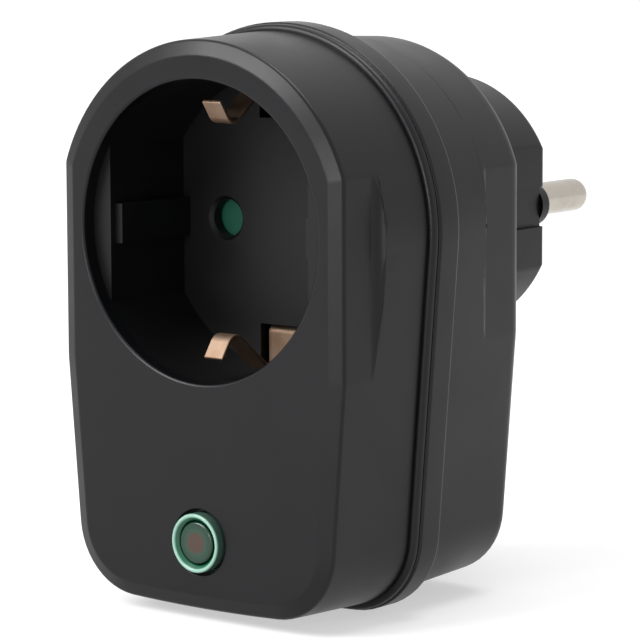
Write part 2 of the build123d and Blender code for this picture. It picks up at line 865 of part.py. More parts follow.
# Lamp inside the button, standing on the board
lamp_front_depth = button_front_depth + button_crown + button_travel + button_gap
with BuildPart() as button_lamp:
    with BuildSketch(behind(lamp_front_depth)):
        with Locations((0, -button_drop)):
            Circle(lamp_radius)
    rearward(board_depth - lamp_front_depth)
    fillet(button_lamp.faces().sort_by(Axis.Y)[0].edges(), lamp_dome)
    with BuildSketch(behind(board_depth)):
        with Locations((0, -button_drop)):
            Circle(lamp_foot_radius)
    extrude(amount=lamp_foot_height)
button_lamp.part.label = "button_lamp"
export_step(button_lamp.part, "parts/button_lamp.step")

# Return spring round the button's stem
button_spring_length = board_depth - button_flange_rear_depth - 2 * button_spring_end_gap - button_spring_wire
with BuildPart() as button_spring:
    with BuildLine(Plane.XY):
        coil = Helix(
            button_spring_length / button_spring_turns,
            button_spring_length,
            button_spring_radius,
            center=(
                0,
                y_at(button_flange_rear_depth + button_spring_end_gap + button_spring_wire / 2),
                -button_drop,
            ),
            direction=(0, 1, 0),
        )
    with BuildSketch(Plane(origin=coil @ 0, z_dir=coil % 0)):
        Rectangle(button_spring_wire, button_spring_wire)
    sweep(is_frenet=True)
button_spring.part.label = "button_spring"
export_step(button_spring.part, "parts/button_spring.step")

# Circuit board
with BuildPart() as circuit_board:
    with BuildSketch(behind(board_depth)):
        with Locations((0, -(board_top_drop + board_shoulder_drop) / 2)):
            Rectangle(2 * board_half_width, board_shoulder_drop - board_top_drop)
        with Locations((0, -(board_top_drop + board_bottom_drop) / 2)):
            Rectangle(2 * board_foot_half_width, board_bottom_drop - board_top_drop)
        with Locations(*post_places):
            Circle(post_pin_radius + post_play, mode=Mode.SUBTRACT)
    rearward(board_thickness)
circuit_board.part.label = "circuit_board"
export_step(circuit_board.part, "parts/circuit_board.step")

# Test switch with its plunger
switch_drop = button_drop - switch_offset
with BuildPart() as test_switch:
    with BuildSketch(behind(board_depth)):
        with Locations((0, -switch_drop)):
            Rectangle(switch_side, switch_side)
    extrude(amount=switch_height)
    with BuildSketch(behind(board_depth - switch_height)):
        with Locations((0, -switch_drop)):
            Circle(switch_plunger_radius)
    plunger_depth = button_flange_rear_depth + button_travel + button_gap
    extrude(amount=board_depth - switch_height - plunger_depth)
test_switch.part.label = "test_switch"
export_step(test_switch.part, "parts/test_switch.step")

# Varistor disc, standing on the back of the board
with BuildPart() as varistor:
    with BuildSketch(Plane.XY.offset(-varistor_drop)):
        with Locations((varistor_offset, y_at(board_rear_depth + varistor_radius))):
            Circle(varistor_radius)
    extrude(amount=varistor_thickness / 2, both=True)
    fillet(varistor.edges(), varistor_rounding)
varistor.part.label = "varistor"
export_step(varistor.part, "parts/varistor.step")

# Smoothing capacitor
with BuildPart() as capacitor:
    with BuildSketch(behind(board_rear_depth)):
        with Locations((capacitor_offset, -capacitor_drop)):
            Circle(capacitor_radius)
    rearward(capacitor_height)
    chamfer(capacitor.faces().sort_by(Axis.Y)[-1].edges(), capacitor_bevel)
capacitor.part.label = "capacitor"
export_step(capacitor.part, "parts/capacitor.step")

# Control chip with two rows of legs
with BuildPart() as control_chip:
    with BuildSketch(behind(board_rear_depth + chip_lift)):
        with Locations((0, -chip_drop)):
            Rectangle(chip_length, chip_width)
    rearward(chip_height)
    with BuildSketch(behind(board_rear_depth)):
        with Locations((0, -chip_drop)):
            with GridLocations(chip_pitch, chip_width + chip_leg, 4, 2):
                Rectangle(chip_leg, chip_leg)
    rearward(chip_lift + chip_height / 2)
control_chip.part.label = "control_chip"
export_step(control_chip.part, "parts/control_chip.step")

# Resistors in a row, each with its bent leads
with BuildPart() as resistors:
    for index in range(resistor_count):
        drop = resistor_first_drop + index * resistor_spacing
        axis_depth = board_rear_depth + resistor_lift + resistor_radius
        with BuildSketch(Plane.YZ):
            with Locations((y_at(axis_depth), -drop)):
                Circle(resistor_radius)
        extrude(amount=resistor_length / 2, both=True)
        with BuildSketch(Plane.YZ):
            with Locations((y_at(axis_depth), -drop)):
                Circle(resistor_lead_radius)
        extrude(amount=resistor_lead_span / 2, both=True)
        with BuildSketch(behind(board_rear_depth)):
            with Locations(*both_sides(resistor_lead_span / 2 - resistor_lead_radius, drop)):
                Circle(resistor_lead_radius)
        rearward(resistor_lift + resistor_radius)
resistors.part.label = "resistors"
export_step(resistors.part, "parts/resistors.step")

# Screws through the rear shell into the front shell
with BuildPart() as housing_screws:
    with BuildSketch(behind(screw_seat_depth)):
        with Locations(*screw_places):
            Circle(screw_head_radius)
    rearward(screw_head_height)
    with BuildSketch(behind(screw_seat_depth)):
        with Locations(*screw_places):
            Circle(screw_pilot_radius)
    extrude(amount=screw_length)
    with BuildSketch(behind(screw_seat_depth + screw_head_height)):
        with Locations(*screw_places):
            Rectangle(2 * screw_head_radius, screw_slot_width)
    extrude(amount=screw_slot_depth, mode=Mode.SUBTRACT)
housing_screws.part.label = "housing_screws"
export_step(housing_screws.part, "parts/housing_screws.step")

# Transformer core ring
with BuildPart() as transformer_core:
    with BuildSketch(behind(core_depth)):
        with Locations((core_offset, -core_drop)):
            Circle(core_radius)
            Circle(core_bore, mode=Mode.SUBTRACT)
    rearward(core_length)
transformer_core.part.label = "transformer_core"
export_step(transformer_core.part, "parts/transformer_core.step")

# Secondary winding, wrapped round the lower part of the core
with BuildPart() as transformer_winding:
    with BuildSketch(behind(core_depth - winding_thickness)):
        with Locations((core_offset, -core_drop)):
            Circle(core_radius + winding_thickness)
            Circle(core_bore - winding_thickness, mode=Mode.SUBTRACT)
        with BuildLine():
            reach = core_radius + 2 * winding_thickness
            sector = CenterArc(
                (core_offset, -core_drop), reach, 270 - winding_half_angle, 2 * winding_half_angle
            )
            Polyline(sector @ 1, (core_offset, -core_drop), sector @ 0)
        make_face(mode=Mode.INTERSECT)
    rearward(core_length + 2 * winding_thickness)
    with BuildSketch(behind(core_depth)):
        with Locations((core_offset, -core_drop)):
            Circle(core_radius)
            Circle(core_bore, mode=Mode.SUBTRACT)
    rearward(core_length, Mode.SUBTRACT)
transformer_winding.part.label = "transformer_winding"
export_step(transformer_winding.part, "parts/transformer_winding.step")

# Relay base
with BuildPart() as relay_base:
    with BuildSketch(behind(relay_base_depth)):
        with Locations((relay_offset, -(relay_top_drop + relay_bottom_drop) / 2)):
            Rectangle(2 * relay_half_width, relay_bottom_drop - relay_top_drop)
    rearward(relay_base_thickness)
relay_base.part.label = "relay_base"
export_step(relay_base.part, "parts/relay_base.step")

# Relay yoke: foot plate, upright leg, and the coil's core with its pole face
yoke_foot_depth = relay_base_depth - yoke_thickness
hinge_depth = armature_depth + armature_thickness
with BuildPart() as relay_yoke:
    foot_top = hinge_drop - yoke_thickness / 2
    foot_bottom = coil_drop + pole_radius
    with BuildSketch(behind(yoke_foot_depth)):
        with Locations((relay_offset, -(foot_top + foot_bottom) / 2)):
            Rectangle(yoke_width, foot_bottom - foot_top)
    rearward(yoke_thickness)
    with BuildSketch(behind(hinge_depth + hinge_gap)):
        with Locations((relay_offset, -hinge_drop)):
            Rectangle(yoke_width, yoke_thickness)
    rearward(relay_base_depth - hinge_depth - hinge_gap)
    with BuildSketch(behind(pole_depth)):
        with Locations((relay_offset, -coil_drop)):
            Circle(coil_core_radius)
    rearward(yoke_foot_depth - pole_depth)
    with BuildSketch(behind(pole_depth)):
        with Locations((relay_offset, -coil_drop)):
            Circle(pole_radius)
    rearward(pole_height)
relay_yoke.part.label = "relay_yoke"
export_step(relay_yoke.part, "parts/relay_yoke.step")

# Relay coil: winding between two flanges, round the core
with BuildPart() as relay_coil:
    coil_front = pole_depth + pole_height
    for start, length, radius in (
        (coil_front, yoke_foot_depth - coil_front, coil_body_radius),
        (coil_front, coil_flange, coil_radius),
        (yoke_foot_depth - coil_flange, coil_flange, coil_radius),
    ):
        with BuildSketch(behind(start)):
            with Locations((relay_offset, -coil_drop)):
                Circle(radius)
        rearward(length)
    with BuildSketch(behind(coil_front)):
        with Locations((relay_offset, -coil_drop)):
            Circle(coil_core_radius)
    rearward(yoke_foot_depth - coil_front, Mode.SUBTRACT)
relay_coil.part.label = "relay_coil"
export_step(relay_coil.part, "parts/relay_coil.step")

# Relay armature: swings on the front edge of the yoke's leg
with BuildPart() as relay_armature:
    with BuildSketch(behind(armature_depth)):
        with Locations((relay_offset, -(hinge_drop - heel_height + carrier_joint_drop) / 2)):
            Rectangle(armature_width, carrier_joint_drop - hinge_drop + heel_height)
    rearward(armature_thickness)
relay_armature.part.label = "relay_armature"
export_step(relay_armature.part, "parts/relay_armature.step")

# Contact carrier: insulating bar on the free end of the armature
with BuildPart() as contact_carrier:
    with BuildSketch(Plane.YZ.offset(relay_offset)):
        with BuildLine():
            Polyline(
                (y_at(armature_depth - carrier_thickness), -carrier_top_drop),
                (y_at(armature_depth), -carrier_top_drop),
                (y_at(armature_depth), -carrier_joint_drop),
                (y_at(hinge_depth), -carrier_joint_drop),
                (y_at(hinge_depth), -carrier_bottom_drop),
                (y_at(armature_depth - carrier_thickness), -carrier_bottom_drop),
                close=True,
            )
        make_face()
    extrude(amount=carrier_half_width, both=True)
contact_carrier.part.label = "contact_carrier"
export_step(contact_carrier.part, "parts/contact_carrier.step")

# Moving contacts: one bridging strip for each pole
pole_middle = (contact_inner_offset + contact_outer_offset) / 2
with BuildPart() as moving_contacts:
    with BuildSketch(behind(hinge_depth)):
        with Locations(*[(relay_offset + side * pole_middle, -contact_drop) for side in (-1, 1)]):
            strip_length = contact_outer_offset - contact_inner_offset + 2 * contact_margin
            Rectangle(strip_length, contact_height)
    rearward(contact_thickness)
moving_contacts.part.label = "moving_contacts"
export_step(moving_contacts.part, "parts/moving_contacts.step")

# Fixed contacts: a pair of studs for each pole, and the bars that run up to the contact sleeves
stud_offsets = (-contact_outer_offset, -contact_inner_offset, contact_inner_offset, contact_outer_offset)
bar_depth = relay_base_depth - bar_thickness
with BuildPart() as fixed_contacts:
    with BuildSketch(behind(stud_depth)):
        with Locations(*[(relay_offset + offset, -contact_drop) for offset in stud_offsets]):
            Circle(stud_radius)
    rearward(relay_base_depth - stud_depth)
    with BuildSketch(behind(bar_depth)):
        with BuildLine():
            left_bar = relay_offset - contact_inner_offset
            FilletPolyline((left_bar, -contact_drop), (left_bar, 0), (-pin_offset, 0), radius=bar_width)
        trace(line_width=bar_width)
        with BuildLine():
            right_bar = relay_offset + contact_inner_offset
            FilletPolyline(
                (right_bar, -contact_drop),
                (right_bar, -bar_cross_drop),
                (pin_offset, -bar_cross_drop),
                (pin_offset, 0),
                radius=bar_width,
            )
        trace(line_width=bar_width)
        with Locations(*pin_places):
            Circle(lug_radius)
            Circle(sleeve_radius, mode=Mode.SUBTRACT)
    rearward(bar_thickness)
fixed_contacts.part.label = "fixed_contacts"
export_step(fixed_contacts.part, "parts/fixed_contacts.step")

# Armature spring behind the armature's heel
spring_drop = hinge_drop - heel_height / 2 - yoke_thickness / 2
spring_start = hinge_depth + hinge_gap + armature_spring_wire / 2
spring_length = relay_base_depth - spring_start - armature_spring_wire / 2
with BuildPart() as armature_spring:
    with BuildLine(Plane.XY):
        coil = Helix(
            spring_length / armature_spring_turns,
            spring_length,
            armature_spring_radius,
            center=(relay_offset, y_at(spring_start), -spring_drop + armature_spring_radius),
            direction=(0, 1, 0),
        )
    with BuildSketch(Plane(origin=coil @ 0, z_dir=coil % 0)):
        Rectangle(armature_spring_wire, armature_spring_wire)
    sweep(is_frenet=True)
armature_spring.part.label = "armature_spring"
export_step(armature_spring.part, "parts/armature_spring.step")

# Conductors: from the shank of each pin down, through the transformer and on to the relay's outer studs
left_core_lane = core_offset - conductor_pitch / 2
right_core_lane = core_offset + conductor_pitch / 2
left_route = [
    (-pin_offset, conductor_start_depth, pin_shank_radius),
    (-pin_offset, conductor_start_depth, conductor_nose_drop),
    (-pin_offset, conductor_rear_depth, conductor_nose_drop),
    (-pin_offset, conductor_rear_depth, conductor_cross_drop),
    (left_core_lane, conductor_rear_depth, conductor_cross_drop),
    (left_core_lane, conductor_rear_depth, core_drop),
    (left_core_lane, left_exit_depth, core_drop),
    (left_lane, left_exit_depth, core_drop),
    (left_lane, left_exit_depth, left_run_drop),
    (left_lane, left_run_depth, left_run_drop),
    (relay_left_stud, left_run_depth, left_run_drop),
    (relay_left_stud, left_run_depth, contact_drop + stud_radius),
]
right_route = [
    (pin_offset, conductor_start_depth, pin_shank_radius),
    (pin_offset, conductor_start_depth, conductor_nose_drop),
    (right_core_lane, conductor_rear_depth, conductor_nose_drop),
    (right_core_lane, conductor_rear_depth, core_drop),
    (right_core_lane, right_exit_depth, core_drop),
    (right_lane, right_exit_depth, core_drop),
    (right_lane, right_exit_depth, contact_drop),
    (right_lane, right_run_depth, contact_drop),
    (relay_right_stud + stud_radius, right_run_depth, contact_drop),
]
for name, route, end_radius in (
    ("conductor_left", left_route, conductor_radius),
    ("conductor_right", right_route, conductor_bend),
):
    bends = [conductor_bend] * (len(route) - 3) + [end_radius]
    with BuildPart() as conductor:
        with BuildLine() as path:
            FilletPolyline(*[(x, y_at(depth), -drop) for x, depth, drop in route], radius=bends)
        with BuildSketch(Plane(origin=path.line @ 0, z_dir=path.line % 0)):
            Circle(conductor_radius)
        sweep()
    conductor.part.label = name
    export_step(conductor.part, f"parts/{name}.step")

# Rectifier block
with BuildPart() as rectifier:
    with BuildSketch(behind(board_rear_depth)):
        with Locations((rectifier_offset, -rectifier_drop)):
            Rectangle(rectifier_length, rectifier_width)
    rearward(rectifier_height)
rectifier.part.label = "rectifier"
export_step(rectifier.part, "parts/rectifier.step")
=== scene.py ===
"""Looks of a plug-through residual current device adapter: black moulded shells, socket recess, plug and button.

Sizes are written in millimetres in the classes and turned to metres where a mesh is made. Depths run rearwards
from the front face, as a maker reads the section drawing, and `at` turns them into the frame's Y.
"""

from __future__ import annotations

import json
import logging
import math
from dataclasses import dataclass
from enum import Enum
from typing import ClassVar

import bmesh
import bpy
from mathutils import Matrix, Vector

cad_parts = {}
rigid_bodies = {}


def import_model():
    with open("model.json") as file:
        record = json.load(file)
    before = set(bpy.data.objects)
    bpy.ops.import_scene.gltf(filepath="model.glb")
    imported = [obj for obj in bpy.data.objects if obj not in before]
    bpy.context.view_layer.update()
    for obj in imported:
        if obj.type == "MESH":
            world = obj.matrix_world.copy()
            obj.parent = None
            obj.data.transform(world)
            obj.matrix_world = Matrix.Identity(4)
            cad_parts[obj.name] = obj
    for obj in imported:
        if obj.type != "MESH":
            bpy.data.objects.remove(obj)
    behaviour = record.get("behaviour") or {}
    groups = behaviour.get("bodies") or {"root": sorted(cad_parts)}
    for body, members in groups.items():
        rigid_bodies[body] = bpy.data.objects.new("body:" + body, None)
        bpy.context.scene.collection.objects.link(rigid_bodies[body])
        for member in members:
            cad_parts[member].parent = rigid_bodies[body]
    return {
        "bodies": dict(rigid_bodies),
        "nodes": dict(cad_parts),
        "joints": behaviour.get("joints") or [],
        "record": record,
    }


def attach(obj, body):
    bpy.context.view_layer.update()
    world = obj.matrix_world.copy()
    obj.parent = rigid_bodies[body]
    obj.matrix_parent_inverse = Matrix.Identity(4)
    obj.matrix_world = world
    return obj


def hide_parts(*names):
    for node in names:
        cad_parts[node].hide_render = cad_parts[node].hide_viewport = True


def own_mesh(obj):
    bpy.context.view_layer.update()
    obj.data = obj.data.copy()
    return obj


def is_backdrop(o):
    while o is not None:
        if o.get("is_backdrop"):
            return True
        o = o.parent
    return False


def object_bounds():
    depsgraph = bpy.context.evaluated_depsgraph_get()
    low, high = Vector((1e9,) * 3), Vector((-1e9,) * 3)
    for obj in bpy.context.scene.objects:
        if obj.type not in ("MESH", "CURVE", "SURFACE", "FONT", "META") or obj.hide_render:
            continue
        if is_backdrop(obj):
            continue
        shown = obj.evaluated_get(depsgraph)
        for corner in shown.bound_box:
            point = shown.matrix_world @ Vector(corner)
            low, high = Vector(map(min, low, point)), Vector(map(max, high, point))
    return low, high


MM = 0.001
CONTACT_DEPTH = 59.8
HOUSING_BODY = "housing"
BUTTON_BODY = "button"
ROUND = 96  # places round a turned piece
BORE = 48  # places round a bore
POST = 32  # places round a boss or post

MIDTONES = (0.3, 0.7)  # where most of a noise lies

Point = tuple[float, float]
Triple = tuple[float, float, float]
Socket = bpy.types.NodeSocket
Inputs = dict[str | int, object]
Loops = list[list[Vector]]

log = logging.getLogger("adapter")


def at(x: float, depth: float, z: float) -> Vector:
    """Turns a place in millimetres, with its depth behind the front face, into the frame's metres."""
    return Vector((x * MM, (depth - CONTACT_DEPTH) * MM, z * MM))


def linear(hex_colour: str) -> tuple[float, float, float, float]:
    """Turns an sRGB hex colour into the linear values that a shader takes.

    Args:
        hex_colour: six hex digits after a #.

    Returns:
        Red, green, blue and an alpha of one.
    """
    channels = [int(hex_colour[start:start + 2], 16) / 255 for start in (1, 3, 5)]
    bent = [c / 12.92 if c <= 0.04045 else ((c + 0.055) / 1.055) ** 2.4 for c in channels]
    return (bent[0], bent[1], bent[2], 1.0)


def per_metre(size_mm: float) -> float:
    """Scale of a noise whose features are this many millimetres across."""
    return 1 / (size_mm * MM)


def add_node(tree: bpy.types.NodeTree, kind: str, inputs: Inputs | None = None, **settings: object) -> bpy.types.Node:
    """Adds a node with its settings, and sets or links its inputs.

    Args:
        tree: the tree that gets the node.
        kind: the node's type name.
        inputs: values by input name or number; an output socket is linked instead of set.
        settings: properties of the node.

    Returns:
        The new node.
    """
    node = tree.nodes.new(kind)
    for name, value in settings.items():
        setattr(node, name, value)
    for key, value in (inputs or {}).items():
        if isinstance(value, Socket):
            tree.links.new(value, node.inputs[key])
        else:
            node.inputs[key].default_value = value
    return node


class Surface:
    """A material in the making, whose patterns lie in object coordinates."""

    def __init__(self, name: str) -> None:
        """Makes a material with an empty tree.

        Args:
            name: the material's name.
        """
        self.material = bpy.data.materials.new(name)
        self.material.use_nodes = True
        self.tree = self.material.node_tree
        self.tree.nodes.clear()
        self.place = self.node("TexCoord").outputs["Object"]

    def node(self, kind: str, inputs: Inputs | None = None, **settings: object) -> bpy.types.Node:
        """Adds a shader node by the last part of its type name."""
        return add_node(self.tree, f"ShaderNode{kind}", inputs, **settings)

    def noise(self, scale: float, detail: float, place: Socket | None = None) -> Socket:
        """Adds a noise of this scale and detail."""
        inputs = {"Vector": place or self.place, "Scale": scale, "Detail": detail}
        return self.node("TexNoise", inputs).outputs["Fac"]

    def spread(self, value: Socket, given: Point, wanted: Point = (0.0, 1.0), kind: str = "LINEAR") -> Socket:
        """Maps a value from the given range to the wanted one, and holds it there."""
        ends = dict(zip(("From Min", "From Max", "To Min", "To Max"), (*given, *wanted)))
        return self.node("MapRange", {"Value": value, **ends}, interpolation_type=kind).outputs["Result"]

    def mix(self, share: Socket, first: str, second: str | Socket) -> Socket:
        """Mixes a hex colour with another one or with a socket."""
        other = linear(second) if isinstance(second, str) else second
        return self.node("Mix", {"Factor": share, "A": linear(first), "B": other}, data_type="RGBA").outputs["Result"]

    def bump(self, height: Socket, depth: float, strength: float = 1.0, below: Socket | None = None) -> Socket:
        """Raises the skin by a pattern.

        Args:
            height: the pattern.
            depth: its relief, in millimetres.
            strength: share of the relief that shows.
            below: the bump that it lies on.

        Returns:
            The bent normal as an output socket.
        """
        inputs: Inputs = {"Height": height, "Distance": depth * MM, "Strength": strength}
        if below:
            inputs["Normal"] = below
        return self.node("Bump", inputs).outputs["Normal"]

    def reach(self, middle: Vector, axes: Triple) -> Socket:
        """Measures how far each place lies from a middle.

        Args:
            middle: in metres.
            axes: one for each axis that counts, and nothing for the others.

        Returns:
            The distance as an output socket.
        """
        moved = self.node("VectorMath", {0: self.place, 1: middle}, operation="SUBTRACT").outputs[0]
        flat = self.node("VectorMath", {0: moved, 1: axes}, operation="MULTIPLY").outputs[0]
        return self.node("VectorMath", {0: flat}, operation="LENGTH").outputs["Value"]

    def shade(self, inputs: Inputs) -> bpy.types.Material:
        """Ends the tree with the shader of plastics and metals.

        Args:
            inputs: the shader's inputs by name.

        Returns:
            The finished material.
        """
        shader = self.node("BsdfPrincipled", inputs)
        self.node("OutputMaterial", {"Surface": shader.outputs["BSDF"]})
        return self.material


class Grain(Enum):
    """How the face of a moulding came out of its tool: the spread of its gloss and the strength of its grain."""

    ERODED = (0.05, 1.0)
    POLISHED = (0.02, 0.15)


@dataclass(frozen=True)
class MouldedPlastic:
    """Injection-moulded plastic: an even colour, a satin or polished skin and a soft waviness."""

    name: str
    colour: str
    shade: str
    roughness: float
    grain: Grain = Grain.ERODED
    ior: float = 1.49
    clearness: float = 0.0
    shine: float = 0.35

    # Real spark erosion is about 0.05 mm across; it is drawn coarser so that it shows at this size.
    GRAIN_MM: ClassVar[float] = 0.45
    WAVE_MM: ClassVar[float] = 9.0
    GRAIN_DEPTH: ClassVar[float] = 0.006
    WAVE_DEPTH: ClassVar[float] = 0.01

    def build(self) -> bpy.types.Material:
        """Makes the material.

        Returns:
            A material whose grain gives a broken, soft shine and whose waviness bends long reflections a little.
        """
        surface = Surface(self.name)
        spread, strength = self.grain.value
        wave = surface.noise(per_metre(self.WAVE_MM), 3.0)
        grain = surface.bump(surface.noise(per_metre(self.GRAIN_MM), 2.0), self.GRAIN_DEPTH, strength)
        gloss = (self.roughness - spread, self.roughness + spread)
        return surface.shade({
            "Base Color": surface.mix(wave, self.colour, self.shade),
            "Roughness": surface.spread(wave, MIDTONES, gloss),
            "IOR": self.ior,
            "Transmission Weight": self.clearness,
            "Specular IOR Level": self.shine,
            "Normal": surface.bump(wave, self.WAVE_DEPTH, below=grain),
        })


@dataclass(frozen=True)
class WorkedMetal:
    """Rolled, turned or plated metal: fine lines along the way it was worked, and a faint tarnish."""

    name: str
    colour: str
    tarnish: str
    roughness: float
    # Rolling and turning lines are finer than 0.05 mm; they are drawn coarser so that they show.
    line_mm: Triple = (0.25, 0.25, 6.0)

    TARNISH_MM: ClassVar[float] = 4.0
    CLOUD: ClassVar[Point] = (0.45, 0.75)
    MOST_TARNISH: ClassVar[float] = 0.6
    LINE_DEPTH: ClassVar[float] = 0.003
    LINE_STRENGTH: ClassVar[float] = 0.6
    GLOSS_SPREAD: ClassVar[float] = 0.06

    def build(self) -> bpy.types.Material:
        """Makes the material.

        Returns:
            A metal whose fine lines stretch its highlights and whose tarnish warms and dulls parts of it.
        """
        surface = Surface(self.name)
        stretch = {"Vector": surface.place, "Scale": tuple(per_metre(size) for size in self.line_mm)}
        lines = surface.noise(1.0, 3.0, surface.node("Mapping", stretch).outputs["Vector"])
        cloud = surface.spread(surface.noise(per_metre(self.TARNISH_MM), 4.0), self.CLOUD, (0.0, self.MOST_TARNISH))
        gloss = (self.roughness - self.GLOSS_SPREAD, self.roughness + self.GLOSS_SPREAD)
        return surface.shade({
            "Base Color": surface.mix(cloud, self.colour, self.tarnish),
            "Metallic": 1.0,
            "Roughness": surface.spread(lines, MIDTONES, gloss),
            "Normal": surface.bump(lines, self.LINE_DEPTH, self.LINE_STRENGTH),
        })


@dataclass(frozen=True)
class LitCap:
    """Clear green plastic round the lamp, whose tone changes in rings from the lamp's middle outwards; on the light
    ring the pale band is a painted highlight.
    """

    name: str
    colour: str
    halo_and_highlight: str
    lamp: str
    lamp_radius: float
    halo_and_highlight_radius: float
    blur: float
    middle_drop: float = 41.8
    roughness: float = 0.24

    IOR: ClassVar[float] = 1.58
    CLEARNESS: ClassVar[float] = 0.08
    SHINE: ClassVar[float] = 0.35
    FLOW_MM: ClassVar[float] = 2.5
    FLOW_DEPTH: ClassVar[float] = 0.01
    FLOW_STRENGTH: ClassVar[float] = 0.5

    def build(self) -> bpy.types.Material:
        """Makes the material.

        Returns:
            A smooth clear plastic whose tone turns from the lamp's brown over a paler band, which on the light ring
            is a painted highlight, to green.
        """
        surface = Surface(self.name)
        reach = surface.reach(Vector((0.0, 0.0, -self.middle_drop * MM)), (1.0, 0.0, 1.0))
        lamp_edge, halo_and_highlight_edge = (
            surface.spread(reach, (edge * (1 - self.blur) * MM, edge * (1 + self.blur) * MM), kind="SMOOTHSTEP")
            for edge in (self.lamp_radius, self.halo_and_highlight_radius)
        )
        return surface.shade({
            "Base Color": surface.mix(lamp_edge, self.lamp, surface.mix(halo_and_highlight_edge, self.halo_and_highlight, self.colour)),
            "Roughness": self.roughness,
            "IOR": self.IOR,
            "Transmission Weight": self.CLEARNESS,
            "Specular IOR Level": self.SHINE,
            "Normal": surface.bump(surface.noise(per_metre(self.FLOW_MM), 2.0), self.FLOW_DEPTH, self.FLOW_STRENGTH),
        })


Finish = MouldedPlastic | WorkedMetal | LitCap


class Palette:
    """The finishes of the adapter by the record's material slots."""

    FINISHES: ClassVar[dict[str, Finish]] = {
        "housing_plastic": MouldedPlastic("Moulded_polyamide_black_satin", "#07070a", "#0a0a0d", 0.35, shine=0.25),
        "socket_plastic": MouldedPlastic("Moulded_polyamide_black_recess", "#070707", "#0a0a0a", 0.44, shine=0.25),
        "shutter_plastic": MouldedPlastic("Moulded_acetal_green", "#1b4d3d", "#205846", 0.38),
        # The pale mint band over the ring's rounded crest is a painted highlight.
        "ring_plastic": LitCap("Moulded_polycarbonate_mint", "#0d281e", "#8fb9a8", "#1b5a40", 3.5, 4.0, 0.03),
        "button_plastic": LitCap("Moulded_polycarbonate_green_lit", "#083120", "#1c3d2e", "#3f2c22", 1.45, 2.0, 0.22),
        "lamp_resin": MouldedPlastic("Cast_epoxy_lamp", "#5e5646", "#6a614f", 0.18, Grain.POLISHED, 1.55, 0.2),
        "pin_nickel": WorkedMetal("Brass_nickel_plated_turned", "#b4aea4", "#98908a", 0.24, (6.0, 0.2, 6.0)),
        "clip_bronze": WorkedMetal("Bronze_strip_rolled", "#8a7564", "#6e4e3b", 0.55, (0.2, 6.0, 6.0)),
        "contact_brass": WorkedMetal("Brass_strip_stamped", "#c8a258", "#94753e", 0.3),
        "copper": WorkedMetal("Copper_drawn", "#c67a54", "#8f5139", 0.3),
        "steel": WorkedMetal("Steel_zinc_plated", "#a9abae", "#84868a", 0.34),
        "spring_steel": WorkedMetal("Spring_steel_wire_drawn", "#97989b", "#727478", 0.3),
        "relay_plastic": MouldedPlastic("Moulded_polyester_ivory", "#c2beb2", "#cbc8bd", 0.45),
        "board_laminate": MouldedPlastic("Glass_fibre_laminate_green", "#245236", "#2b5f40", 0.35),
        "varistor_coat": MouldedPlastic("Epoxy_dipped_blue", "#23488c", "#2a5299", 0.3, Grain.POLISHED),
        "capacitor_sleeve": MouldedPlastic("Heat_shrunk_sleeve_black", "#222225", "#2a2a2e", 0.3, Grain.POLISHED),
        "chip_resin": MouldedPlastic("Moulded_epoxy_black", "#1b1b1c", "#212122", 0.55),
        "resistor_coat": MouldedPlastic("Lacquer_beige", "#c2a684", "#cdb395", 0.28, Grain.POLISHED),
        "core_iron": MouldedPlastic("Iron_strip_coated_grey", "#4b4b4d", "#565659", 0.5),
    }

    def __init__(self) -> None:
        """Makes every finish once."""
        self.made: dict[str, bpy.types.Material] = {slot: finish.build() for slot, finish in self.FINISHES.items()}

    def dress(self, record: dict, nodes: dict[str, bpy.types.Object]) -> None:
        """Gives every CAD node the finish of its slot.

        Args:
            record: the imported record, whose subparts name each node's slot.
            nodes: the CAD objects by name.
        """
        for part in record["subparts"]:
            for holder in nodes[part["node"]].material_slots:
                holder.material = self.made[part["material_slot"]]


def arc(radius: float, start: float, end: float, steps: int, centre: Point = (0.0, 0.0)) -> list[Point]:
    """Places along an arc, both ends included.

    Args:
        radius: in millimetres.
        start: where the arc starts, in radians.
        end: where it ends.
        steps: of the arc.
        centre: its middle.

    Returns:
        The places.
    """
    turns = [start + (end - start) * step / steps for step in range(steps + 1)]
    return [(centre[0] + radius * math.cos(turn), centre[1] + radius * math.sin(turn)) for turn in turns]


def eased(radius: float, steps: int, reach: float = 0.5) -> list[Point]:
    """Places round an eased edge.

    Args:
        radius: of the easing, in millimetres.
        steps: of the easing.
        reach: how far it turns, in half turns.

    Returns:
        How far each place has moved in from the side, and how far it still is from the end face.
    """
    return [(radius - across, radius - along) for across, along in arc(radius, 0.0, math.pi * reach, steps)]


def bent_line(corners: list[Point], radii: list[float], steps: int = 8) -> list[Point]:
    """Rounds the inner corners of a line.

    Args:
        corners: depth and height of each corner, in millimetres.
        radii: the rounding of each inner corner.
        steps: of each rounding.

    Returns:
        The line's places.
    """
    line = [Vector(corners[0])]
    for before, here, after, radius in zip(corners, corners[1:], corners[2:], radii):
        middle = Vector(here)
        back = (Vector(before) - middle).normalized()
        on = (Vector(after) - middle).normalized()
        half = back.angle(on) / 2
        centre = middle + (back + on).normalized() * radius / math.sin(half)
        start, end = ((middle + way * radius / math.tan(half) - centre).normalized() for way in (back, on))
        line += [centre + start.slerp(end, step / steps) * radius for step in range(steps + 1)]
    line.append(Vector(corners[-1]))
    return [(place.x, place.y) for place in line]


def circle(radius: float, depth: float, centre: Point = (0.0, 0.0), count: int = BORE) -> list[Vector]:
    """Places round a circle across the depth, in metres, from sizes in millimetres."""
    return [at(x, depth, z) for x, z in arc(radius, 0.0, math.tau, count, centre)[:-1]]


def stadium(half_length: float, half_width: float, depth: float) -> list[Vector]:
    """Outline of an oblong with round ends, lying along X.

    Args:
        half_length: half of its whole length, in millimetres.
        half_width: half of its width, and the radius of its ends.
        depth: behind the front face.

    Returns:
        The places in metres.
    """
    end = arc(half_width, -math.pi / 2, math.pi / 2, 24, (half_length - half_width, 0.0))
    return [at(x, depth, z) for x, z in end + [(-x, -z) for x, z in end]]


